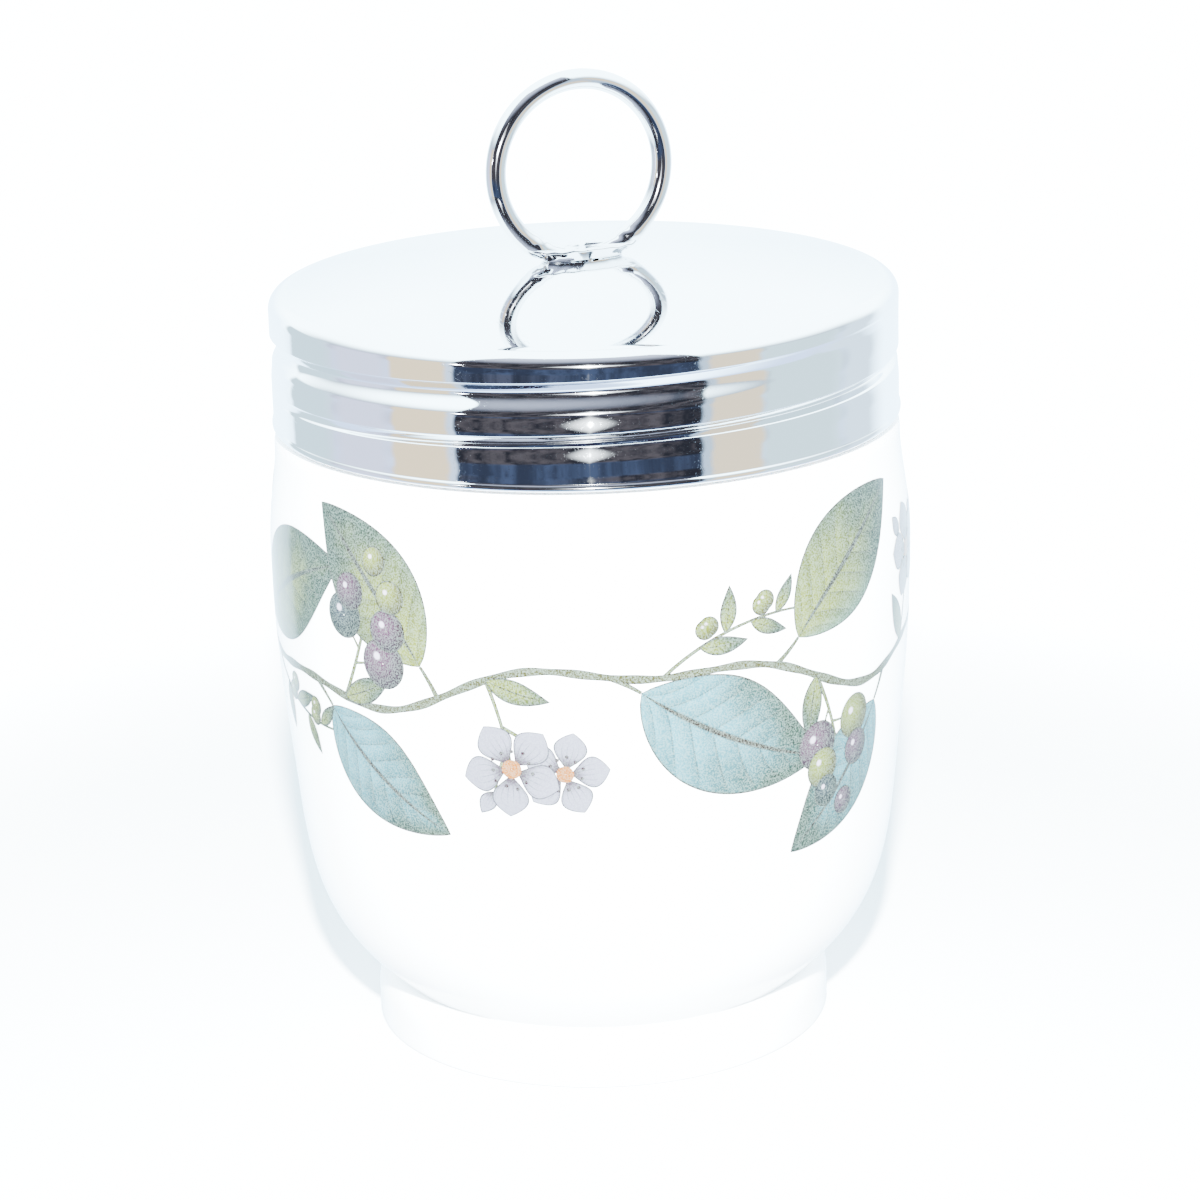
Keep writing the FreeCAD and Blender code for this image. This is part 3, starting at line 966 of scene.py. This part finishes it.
@dataclass
class Garland:
    """The printed running vine round the bowl: leaves, stems, berries, flowers and buds, in millimetres."""

    cup: Cup
    inks: Inks = field(default_factory=Inks)
    middle: float = 40.5
    swing: float = 2.6
    nodes: int = 12
    stretch: float = 29.6
    leaves: Sheets = field(default_factory=Sheets)
    stems: Sheets = field(default_factory=Sheets)
    berries: Sheets = field(default_factory=Sheets)
    petals: Sheets = field(default_factory=Sheets)
    lift: float = 0.02

    def vine_height(self, along: np.ndarray) -> np.ndarray:
        """Height of the vine at a distance round the cup: a wave of three swings and a smaller one of eight."""
        angle = along / self.stretch
        return self.middle + self.swing * np.sin(3 * angle + 0.9) + 0.9 * np.sin(8 * angle + 0.3)

    def to_wall(self, flat: np.ndarray, lift: float) -> np.ndarray:
        """Points of the flat pattern, a distance round and a height, laid on the bowl."""
        return self.cup.on_wall(flat[..., 0] / self.stretch, flat[..., 1], lift)

    def ribbon(self, path: np.ndarray, width: float, tone: float, lift: float = 0.0) -> None:
        """A stem: the path moved to both sides along its normal, drawn thinner towards its end.

        Args:
            path: rows of distance round and height.
            width: full width at the start.
            tone: one number for the colour.
            lift: extra distance off the wall.
        """
        run = np.gradient(path, axis=0)
        normal = np.stack([-run[:, 1], run[:, 0]], axis=-1) / np.linalg.norm(run, axis=1, keepdims=True)
        side = np.linspace(-0.5, 0.5, 5)
        thin = np.linspace(1.0, 0.6, len(path))[:, None, None]
        flat = path[:, None, :] + normal[:, None, :] * side[None, :, None] * width * thin
        share = np.linspace(0.0, 1.0, len(path))
        uv = np.stack(np.broadcast_arrays(side[None, :] + 0.5, share[:, None]), axis=-1)
        rim = (0.5 - np.abs(side))[None, :] * width * thin[..., 0]
        self.stems.put(self.to_wall(flat, self.lift + lift), uv, rim, tone)

    def blade(self, store: Sheets, base: np.ndarray, angle: float, length: float, width: float, bend: float,
              tone: float, lift: float, fullness: float = 0.9, rows: int = 44, columns: int = 19) -> np.ndarray:
        """A leaf or petal: a bent midline with a half width of a sine of the distance along it, each side.

        Args:
            store: the sheets that it joins.
            base: distance round and height where it starts.
            angle: its direction, in radians from the way round.
            length, width: its size.
            bend: how far it turns along its length, in radians.
            tone: one number for the colour.
            lift: distance off the wall.
            fullness: the power that the distance along it is raised to; under 1 puts the widest place nearer the base.
            rows, columns: the grid.

        Returns:
            The flat place of its tip.
        """
        along = np.linspace(0.0, 1.0, rows)
        heading = angle + bend * (along - 0.15)
        step = length / (rows - 1)
        line = np.cumsum(np.stack([np.cos(heading), np.sin(heading)], axis=-1) * step, axis=0)
        line = base + line - line[0]
        normal = np.stack([-np.sin(heading), np.cos(heading)], axis=-1)
        half = width / 2 * np.sin(math.pi * along**fullness) ** 0.85 * (1 - 0.25 * along)
        half = np.maximum(half, 0.02)
        side = np.linspace(-1.0, 1.0, columns)
        flat = line[:, None, :] + normal[:, None, :] * (side[None, :] * half[:, None])[..., None]
        uv = np.stack(np.broadcast_arrays(side[None, :] * 0.5 + 0.5, along[:, None]), axis=-1)
        rim = (1 - np.abs(side))[None, :] * half[:, None]
        store.put(self.to_wall(flat, self.lift + lift), uv, rim, tone)
        return line[-1]

    def disc(self, store: Sheets, centre: np.ndarray, radius: float, tone: float, lift: float) -> None:
        """A round berry: rings of points about its middle.

        Args:
            store: the sheets that it joins.
            centre: distance round and height of its middle.
            radius: its size.
            tone: one number for the colour.
            lift: distance off the wall.
        """
        angle = np.linspace(0.0, TURN, 29)
        reach = np.linspace(0.02, 1.0, 7)
        spread = np.stack([np.cos(angle), np.sin(angle)], axis=-1)
        local = reach[:, None, None] * spread[None, :, :]
        rim = (1 - reach)[:, None] * radius * np.ones(len(angle))
        store.put(self.to_wall(centre + local * radius, self.lift + lift), local * 0.5 + 0.5, rim, tone)

    def curve(self, start: np.ndarray, angle: float, length: float, bend: float, count: int = 20) -> np.ndarray:
        """A path that sets out at an angle and turns steadily."""
        share = np.linspace(0.0, 1.0, count)
        heading = angle + bend * share
        step = length / (count - 1)
        path = np.cumsum(np.stack([np.cos(heading), np.sin(heading)], axis=-1) * step, axis=0)
        return start + path - path[0]

    def leaf(self, start: np.ndarray, side: Side, order: int) -> None:
        """One leaf on its own stalk, its size, lean and tone worked out from its order on the vine."""
        lean = 0.78 + 0.20 * math.sin(order * 2.1)
        length = 18.5 + 2.0 * math.sin(order * 1.7 + 0.4)
        tone = 0.5 + 0.5 * math.sin(order * 2.9)
        heading = side.value * (math.pi - lean if order % 3 == 1 else lean)
        stalk = self.curve(start, heading - side.value * 0.2, 3.2, side.value * 0.2, 10)
        self.ribbon(stalk, 0.55, 0.3)
        bend = side.value * 0.4 * (1 if order % 3 == 1 else -1)
        self.blade(self.leaves, stalk[-1], heading, length, length * 0.60, bend, tone, 0.010 + 0.001 * order)

    def young_leaf(self, start: np.ndarray, heading: float, length: float, tone: float) -> None:
        """A small narrow leaf without a stalk."""
        self.blade(self.leaves, start, heading, length, length * 0.42, 0.25, tone, 0.024, 0.9, 24, 11)

    def berry_truss(self, start: np.ndarray, side: Side, order: int) -> None:
        """Round berries on short stalks to both sides of a hanging one, smaller towards its tip."""
        heading = side.value * 1.05
        stalk = self.curve(start, heading, 12.5, side.value * 0.35, 26)
        self.ribbon(stalk, 0.45, 0.5)
        for step in range(6):
            place = stalk[8 + step * 3]
            way = heading + side.value * 0.06 * step + (0.95 if step % 2 else -0.95)
            if step == 5:
                way = heading + side.value * 0.3
            twig = self.curve(place, way, 1.6, 0.2, 8)
            self.ribbon(twig, 0.32, 0.6)
            size = 2.35 - 0.2 * step
            centre = twig[-1] + size * 0.8 * np.array([math.cos(way), math.sin(way)])
            tone = (0.5, 0.9, 0.5, 0.62, 0.2, 0.1)[(step + order) % 6]
            self.disc(self.berries, centre, size, tone, 0.030 + 0.002 * step)
        self.young_leaf(start, heading - 0.7, 6.5, 1.2)

    def flower(self, centre: np.ndarray, size: float, spin: float, lift: float) -> None:
        """Five round petals, a ring of dots and a yellow middle.

        Args:
            centre: distance round and height of its middle.
            size: length of a petal.
            spin: how far it is turned, in radians.
            lift: extra distance off the wall.
        """
        for step in range(5):
            turn = TURN * step / 5 + spin
            root = centre + 0.12 * size * np.array([math.cos(turn), math.sin(turn)])
            self.blade(self.petals, root, turn, size, size * 0.98, 0.05, 0.2, lift + 0.0015 * step, 1.35, 20, 13)
        self.disc(self.berries, centre, size * 0.22, 2.0, lift + 0.010)
        for step in range(11):
            turn = TURN * step / 11 + spin
            reach = size * (0.42 + 0.05 * (step % 2))
            self.disc(self.berries, centre + reach * np.array([math.cos(turn), math.sin(turn)]), 0.17, 3.0, lift + 0.012)

    def blossoms(self, start: np.ndarray, side: Side, order: int) -> None:
        """Two open flowers and a bud on a forked stalk."""
        heading = side.value * 1.2
        stalk = self.curve(start, heading, 8.5, side.value * 0.25, 18)
        fork = self.curve(stalk[9], heading - side.value * 0.75, 7.0, side.value * 0.4, 14)
        twig = self.curve(stalk[13], heading + side.value * 0.8, 4.5, 0.2, 10)
        for path in (stalk, fork, twig):
            self.ribbon(path, 0.42, 0.5)
        self.flower(stalk[-1], 4.1, 0.3 * order, 0.034)
        self.flower(fork[-1], 3.6, 0.3 * order + 0.5, 0.020)
        self.blade(self.petals, twig[-1], heading + side.value, 2.6, 1.9, 0.1, 0.2, 0.02, 1.0, 14, 9)
        self.young_leaf(start, heading + 0.8, 6.0, 1.3)

    def buds(self, start: np.ndarray, side: Side, order: int) -> None:
        """A curling stalk with small narrow leaves and unripe berries."""
        heading = side.value * 0.75
        stalk = self.curve(start, heading, 14.0, -side.value * 0.8, 28)
        self.ribbon(stalk, 0.4, 0.4)
        for step in range(4):
            place = stalk[8 + step * 5]
            way = heading - side.value * 0.2 * step + (0.8 if step % 2 else -0.8)
            self.young_leaf(place, way, 4.6 - 0.3 * step, 1.2)
            berry = place + 1.7 * np.array([math.cos(way + 1.3), math.sin(way + 1.3)])
            self.disc(self.berries, berry, 0.95, 0.1, 0.03)

    def grow(self) -> None:
        """Lays out the vine and hangs a leaf on one side and a spray on the other at each of its nodes."""
        around = TURN * self.stretch
        along = np.linspace(0.0, around, 721)
        self.ribbon_closed(along)
        kinds = (self.berry_truss, self.blossoms, self.buds)
        for order in range(self.nodes):
            place = around * (order + 0.35) / self.nodes
            start = np.array([place, float(self.vine_height(np.array(place)))])
            side = Side.UP if order % 2 else Side.DOWN
            other = Side.DOWN if side is Side.UP else Side.UP
            self.leaf(start, side, order)
            near = start + np.array([around / self.nodes * 0.3, 0.0])
            near[1] = float(self.vine_height(np.array(near[0])))
            kinds[order % 3](near, other, order)

    def ribbon_closed(self, along: np.ndarray) -> None:
        """The main vine, all the way round, at one width."""
        path = np.stack([along, self.vine_height(along)], axis=-1)
        run = np.gradient(path, axis=0)
        run[0] = run[-1] = (run[0] + run[-1]) / 2
        normal = np.stack([-run[:, 1], run[:, 0]], axis=-1) / np.linalg.norm(run, axis=1, keepdims=True)
        side = np.linspace(-0.5, 0.5, 5)
        width = 0.75 + 0.12 * np.sin(along * 1.3)
        flat = path[:, None, :] + normal[:, None, :] * side[None, :, None] * width[:, None, None]
        uv = np.stack(np.broadcast_arrays(side[None, :] + 0.5, (along / along[-1])[:, None]), axis=-1)
        rim = (0.5 - np.abs(side))[None, :] * width[:, None]
        self.stems.put(self.to_wall(flat, self.lift), uv, rim, 0.0)

    def printed(self, name: str) -> tuple[bpy.types.Material, Graph, bpy.types.Node, bpy.types.NodeSocket, bpy.types.NodeSocket]:
        """A printed colour under the glaze: the material, its graph and shader, its tone and its edge distance."""
        made, graph, shader = new_material(name, (0.8, 0.8, 0.8, 1.0), self.cup.finish.roughness, 0.0)
        graph.fill(shader.inputs["IOR"], 1.52)
        graph.fill(shader.inputs["Specular IOR Level"], 0.25)
        tone = graph.add("Attribute", attribute_name="tone").outputs["Fac"]
        rim = graph.add("Attribute", attribute_name="rim").outputs["Fac"]
        return made, graph, shader, tone, rim

    def finish_ink(self, graph: Graph, shader: bpy.types.Node, colour: bpy.types.NodeSocket, grain: float, cloud: float) -> None:
        """Puts the print's grain on a colour and gives it to the shader."""
        mottle = graph.tree.nodes.new("ShaderNodeGroup")
        mottle.node_tree = GROUPS.mottle()
        graph.fill(mottle.inputs["Color"], colour)
        graph.fill(mottle.inputs["Grain"], grain)
        graph.fill(mottle.inputs["Cloud"], cloud)
        graph.fill(shader.inputs["Base Color"], mottle.outputs["Color"])

    def leaf_ink(self) -> bpy.types.Material:
        """Aqua, sage and lime washes with a midrib, slanted side veins and a thin outline."""
        made, graph, shader, tone, rim = self.printed("leaf_print")
        uv = graph.add("SeparateXYZ", Vector=graph.add("UVMap", uv_map="UVMap").outputs[0])
        across = graph.math("MULTIPLY", graph.math("ABSOLUTE", graph.math("SUBTRACT", uv.outputs[0], 0.5)), 2.0)
        along = uv.outputs[1]
        wash = graph.math("ADD", along, graph.math("MULTIPLY", across, 0.35))
        cloud = graph.add("TexNoise", Vector=graph.add("TexCoord").outputs["Object"], Scale=260.0, Detail=3.0).outputs[0]
        wash = graph.math("ADD", wash, graph.math("MULTIPLY", cloud, 0.8))
        cool = graph.mix(graph.ramp(wash, 0.75, 1.5), self.inks.aqua, self.inks.sage)
        warm = graph.mix(graph.ramp(wash, 0.6, 1.5), self.inks.lime, self.inks.sage)
        half = graph.ramp(graph.math("ADD", tone, graph.math("MULTIPLY", uv.outputs[0], 0.5)), 0.7, 1.1)
        colour = graph.mix(half, cool, warm)
        phase = graph.math("SUBTRACT", graph.math("MULTIPLY", along, 8.0), graph.math("MULTIPLY", across, 1.7))
        saw = graph.math("FRACT", phase)
        shade = graph.math("MULTIPLY", graph.ramp(saw, 0.1, 0.95), 0.30)
        colour = graph.mix(shade, colour, graph.mix(1.0, colour, self.inks.sage, "MULTIPLY"))
        distance = graph.math("ABSOLUTE", graph.math("SUBTRACT", saw, 0.5))
        vein = graph.ramp(distance, 0.44, 0.485)
        vein = graph.math("MULTIPLY", vein, graph.ramp(across, 0.95, 0.7))
        midrib = graph.ramp(across, 0.075, 0.03)
        edge = graph.ramp(rim, 0.22, 0.10)
        lines = graph.math("MAXIMUM", graph.math("MAXIMUM", graph.math("MULTIPLY", vein, 0.55), midrib), edge)
        self.finish_ink(graph, shader, graph.mix(lines, colour, self.inks.line), 0.16, 0.35)
        return made

    def stem_ink(self) -> bpy.types.Material:
        """Yellow-green stems with a mauve-brown line down their edges."""
        made, graph, shader, tone, rim = self.printed("stem_print")
        colour = graph.mix(graph.ramp(tone, 0.2, 0.8), self.inks.stem, self.inks.lime)
        self.finish_ink(graph, shader, graph.mix(graph.ramp(rim, 0.13, 0.05), colour, self.inks.line), 0.2, 0.3)
        return made

    def berry_ink(self) -> bpy.types.Material:
        """Round berries, shaded to one side, in plum, slate and unripe lime; a tone over 1.5 is a flower's middle."""
        made, graph, shader, tone, rim = self.printed("berry_print")
        uv = graph.add("SeparateXYZ", Vector=graph.add("UVMap", uv_map="UVMap").outputs[0])
        left = graph.math("SUBTRACT", uv.outputs[0], 0.36)
        up = graph.math("SUBTRACT", uv.outputs[1], 0.64)
        reach = graph.math("SQRT", graph.math("ADD", graph.math("MULTIPLY", left, left), graph.math("MULTIPLY", up, up)))
        ripe = graph.mix(graph.ramp(reach, 0.10, 0.62), self.inks.plum_light, self.inks.plum)
        dark = graph.mix(graph.ramp(reach, 0.06, 0.55), self.inks.slate_light, self.inks.slate)
        young = graph.mix(graph.ramp(reach, 0.10, 0.62), self.inks.lime, self.inks.stem)
        colour = graph.mix(graph.ramp(tone, 0.34, 0.36), young, ripe)
        colour = graph.mix(graph.ramp(tone, 0.85, 0.9), colour, dark)
        colour = graph.mix(graph.ramp(reach, 0.10, 0.05), colour, self.inks.gleam)
        colour = graph.mix(graph.ramp(rim, 0.16, 0.06), colour, self.inks.line)
        colour = graph.mix(graph.ramp(tone, 1.4, 1.6), colour, self.inks.centre)
        colour = graph.mix(graph.ramp(tone, 2.4, 2.6), colour, self.inks.heart)
        self.finish_ink(graph, shader, colour, 0.15, 0.25)
        return made

    def petal_ink(self) -> bpy.types.Material:
        """Pale mauve petals with darker roots and fine veins that run out along them."""
        made, graph, shader, tone, rim = self.printed("petal_print")
        uv = graph.add("SeparateXYZ", Vector=graph.add("UVMap", uv_map="UVMap").outputs[0])
        colour = graph.mix(graph.ramp(uv.outputs[1], 0.45, 0.05), self.inks.petal, self.inks.heart)
        saw = graph.math("FRACT", graph.math("MULTIPLY", uv.outputs[0], 6.0))
        vein = graph.ramp(graph.math("ABSOLUTE", graph.math("SUBTRACT", saw, 0.5)), 0.12, 0.03)
        vein = graph.math("MULTIPLY", graph.math("MULTIPLY", vein, graph.ramp(uv.outputs[1], 0.8, 0.3)), 0.6)
        lines = graph.math("MAXIMUM", vein, graph.math("MULTIPLY", graph.ramp(rim, 0.18, 0.07), 0.9))
        self.finish_ink(graph, shader, graph.mix(lines, colour, self.inks.petal_line), 0.1, 0.15)
        return made

    def build(self) -> list[bpy.types.Object]:
        """The whole print as four meshes."""
        self.grow()
        return [
            self.stems.build("garland_stems", self.stem_ink()),
            self.leaves.build("garland_leaves", self.leaf_ink()),
            self.petals.build("garland_petals", self.petal_ink()),
            self.berries.build("garland_berries", self.berry_ink()),
        ]


@dataclass
class Studio:
    """The camera, a pale floor with a painted glow away from the cup, and soft light, with panels round the set that
    only reflections see.
    """

    stands_at: tuple = (-0.12630, -0.31457, 0.14483)
    turn: float = -22.0
    pitch: float = 17.124
    roll: float = -1.671
    lens: float = 112.68
    floor_size: float = 6.0
    ambient: tuple = (3.3, 5.0, 6.0, 1.0)
    backdrop: float = 24.0
    panel_low: float = -33.0
    panel_high: float = 12.0
    dark_high: float = 66.0
    lamp_at: tuple = (-0.1285, -0.3265, 0.250)
    lamp_power: float = 33.0
    lamp_size: float = 0.016

    def place_camera(self) -> None:
        """The camera, turned about the upright, tipped down and rolled as the photograph's is."""
        data = bpy.data.cameras.new("camera")
        data.lens = self.lens
        data.sensor_width = 36.0
        data.clip_start = 0.01
        data.clip_end = 50.0
        made = bpy.data.objects.new("camera", data)
        bpy.context.scene.collection.objects.link(made)
        turn = Matrix.Rotation(math.radians(self.turn), 4, "Z")
        tip = Matrix.Rotation(math.radians(90.0 - self.pitch), 4, "X")
        roll = Matrix.Rotation(math.radians(self.roll), 4, "Z")
        made.matrix_world = Matrix.Translation(self.stands_at) @ turn @ tip @ roll
        bpy.context.scene.camera = made

    def lay_floor(self) -> None:
        """A wide pale floor with a painted glow that grows from 75 to 170 mm out from the middle, so the far floor
        shows white while the floor round the cup keeps its lamp light and shadow. Reflections see the panels in place
        of it.
        """
        half = self.floor_size / 2
        corners = np.array([[-half, -half, 0.0], [half, -half, 0.0], [half, half, 0.0], [-half, half, 0.0]]) / MM
        floor = WRITER.faces("floor", corners, np.array([[0, 1, 2, 3]]))
        made, graph, shader = new_material("pale_floor_painted_glow", (0.95, 0.96, 0.97, 1.0), 0.9, 0.0)
        graph.fill(shader.inputs["Specular IOR Level"], 0.0)
        place = graph.add("TexCoord").outputs["Object"]
        reach = graph.add("VectorMath", operation="LENGTH", i_0=place).outputs["Value"]
        # painted glow: the floor gives off light from 75 mm out, rising to full at 170 mm, and stays unlit near the cup
        # where its shadow falls
        glow = graph.ramp(reach, 0.075, 0.17)
        graph.fill(shader.inputs["Emission Color"], graph.mix(glow, (0.0, 0.0, 0.0, 1.0), (1.0, 1.0, 1.0, 1.0)))
        graph.fill(shader.inputs["Emission Strength"], self.backdrop / 2)
        floor.data.materials.append(made)
        floor.visible_glossy = False

    def panel_group(self) -> bpy.types.NodeTree:
        """A soft-edged patch of the surroundings: a product of four smooth steps in azimuth and elevation."""
        tree = bpy.data.node_groups.new("panel_mask", "ShaderNodeTree")
        graph = Graph(tree)
        for name in ("Azimuth", "Elevation", "From", "To", "Low", "High", "Soft"):
            tree.interface.new_socket(name, in_out="INPUT", socket_type="NodeSocketFloat")
        tree.interface.new_socket("Mask", in_out="OUTPUT", socket_type="NodeSocketFloat")
        inlet = tree.nodes.new("NodeGroupInput").outputs
        outlet = tree.nodes.new("NodeGroupOutput")
        edges = []
        for value, limit, sign in (("Azimuth", "From", 1), ("Azimuth", "To", -1), ("Elevation", "Low", 1), ("Elevation", "High", -1)):
            past = graph.math("MULTIPLY", graph.math("SUBTRACT", inlet[value], inlet[limit]), float(sign))
            edges.append(graph.math("DIVIDE", graph.math("ADD", past, inlet["Soft"]), graph.math("MULTIPLY", inlet["Soft"], 2.0), clamp=True))
        product = edges[0]
        for other in edges[1:]:
            product = graph.math("MULTIPLY", product, other)
        graph.fill(outlet.inputs["Mask"], product)
        return tree

    def light_room(self) -> None:
        """White surroundings for sight and soft light, and darker panels and two lamps for reflections."""
        world = bpy.data.worlds.new("studio")
        bpy.context.scene.world = world
        world.use_nodes = True
        graph = Graph(world.node_tree)
        group = self.panel_group()
        way = graph.add("TexCoord").outputs["Generated"]
        facing = math.degrees(math.atan2(self.stands_at[1], self.stands_at[0]))
        turned = graph.add("VectorRotate", rotation_type="Z_AXIS", Vector=way, Angle=math.radians(90.0 - facing))
        parts = graph.add("SeparateXYZ", Vector=turned.outputs[0])
        left = graph.math("MULTIPLY", parts.outputs[0], -1.0)
        azimuth = graph.math("DEGREES", graph.math("ARCTAN2", left, parts.outputs[1]))
        elevation = graph.math("DEGREES", graph.math("ARCSINE", parts.outputs[2]))
        away = graph.ramp(graph.math("ABSOLUTE", azimuth), 105.0, 140.0)
        wall = graph.mix(away, TONE.glow(172, 180, 192), TONE.glow(246, 251, 253))
        low_sky = graph.mix(graph.ramp(elevation, 8.0, 40.0), wall, TONE.glow(246, 251, 253))
        paper = graph.mix(graph.ramp(elevation, -40.0, -75.0), TONE.glow(212, 222, 232), TONE.glow(240, 247, 251))
        colour = graph.mix(graph.ramp(elevation, -20.0, 0.0), paper, low_sky)
        tone = graph.add("TexNoise", noise_dimensions="3D", Vector=turned.outputs[0], Scale=9.0, Detail=4.0, Roughness=0.6)
        cloud = graph.ramp(tone.outputs[0], 0.38, 0.66)
        navy = graph.mix(cloud, TONE.glow(56, 66, 92), TONE.glow(88, 106, 140))
        brown = graph.mix(cloud, TONE.glow(44, 46, 58), TONE.glow(104, 100, 108))
        dark = graph.mix(graph.ramp(elevation, -15.0, -10.0), navy, brown)
        dark = graph.mix(graph.ramp(elevation, -27.0, -31.0), dark, TONE.glow(48, 40, 66))
        dark = graph.mix(graph.ramp(elevation, 22.0, 64.0), dark, TONE.glow(206, 210, 218))
        panels = (
            (-179.0, -134.0, TONE.glow(238, 245, 249), 8.0),
            (-134.0, -104.0, TONE.glow(206, 217, 222), 1.5),
            (-104.0, -74.0, TONE.glow(212, 215, 224), 6.0),
            (-74.0, -50.0, TONE.glow(218, 213, 202), 1.0),
            (-51.0, -47.5, TONE.glow(206, 214, 222), 1.0),
            (-48.0, 42.0, dark, 0.7),
            (41.5, 46.0, TONE.glow(196, 206, 214), 1.0),
            (45.0, 66.0, TONE.glow(216, 212, 203), 1.0),
            (66.0, 104.0, TONE.glow(208, 218, 222), 2.0),
            (104.0, 132.0, TONE.glow(214, 223, 228), 6.0),
            (132.0, 179.0, TONE.glow(238, 245, 249), 8.0),
        )
        for start, end, shade, soft in panels:
            mask = graph.tree.nodes.new("ShaderNodeGroup")
            mask.node_tree = group
            for name, value in (("Azimuth", azimuth), ("Elevation", elevation), ("From", start), ("To", end),
                                ("Low", self.panel_low), ("High", self.panel_high if start > 0 or end < 0 else self.dark_high),
                                ("Soft", soft)):
                graph.fill(mask.inputs[name], value)
            colour = graph.mix(mask.outputs[0], colour, shade)
        for centre, height, size, power in ((1.0, 3.0, 20.0, 5.0), (1.0, 3.0, 8.0, 90.0), (-46.0, 1.5, 4.0, 60.0)):
            off = graph.math("POWER", graph.math("ABSOLUTE", graph.math("SUBTRACT", azimuth, centre)), 0.75)
            rise = graph.math("POWER", graph.math("ABSOLUTE", graph.math("SUBTRACT", elevation, height)), 0.75)
            reach = graph.math("ADD", off, rise)
            glow = graph.ramp(reach, size**0.75, size**0.75 * 0.4)
            colour = graph.mix(glow, colour, (power * 0.92, power, power * 1.05, 1.0))
        path = graph.add("LightPath")
        seen = graph.mix(path.outputs["Is Glossy Ray"], self.ambient, colour)
        plain = (self.backdrop, self.backdrop, self.backdrop, 1.0)
        seen = graph.mix(path.outputs["Is Camera Ray"], seen, plain)
        back = graph.add("Background", Color=seen, Strength=1.0)
        graph.add("OutputWorld", Surface=back.outputs[0])

    def hang_lamp(self) -> None:
        """One small lamp over the camera, turned to the cup, that no reflection sees."""
        data = bpy.data.lights.new("front_flash", "AREA")
        data.shape = "DISK"
        data.size = self.lamp_size
        data.energy = self.lamp_power
        lamp = bpy.data.objects.new("front_flash", data)
        bpy.context.scene.collection.objects.link(lamp)
        way = Vector((0.0, 0.0, 0.045)) - Vector(self.lamp_at)
        lamp.matrix_world = Matrix.Translation(self.lamp_at) @ way.to_track_quat("-Z", "Y").to_matrix().to_4x4()
        lamp.visible_glossy = False

    def build(self) -> None:
        """The whole set."""
        self.lay_floor()
        self.light_room()
        self.hang_lamp()


def main() -> None:
    """Builds the set and every piece in order, and logs how many faces each piece has."""
    logging.basicConfig(level=logging.INFO, format="%(name)s: %(message)s")
    studio = Studio()
    studio.place_camera()
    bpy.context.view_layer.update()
    studio.build()
    cup = Cup()
    lid = Lid()
    ring = Ring(lid)
    made = [cup.build(), lid.build(), ring.build_hoop(), ring.build_saddle(), ring.build_rivet()]
    ring.dress_washer()
    made += Garland(cup).build()
    for piece in made:
        log.info("%s: %d faces", piece.name, len(piece.data.polygons))


if __name__ == "__main__":
    main()
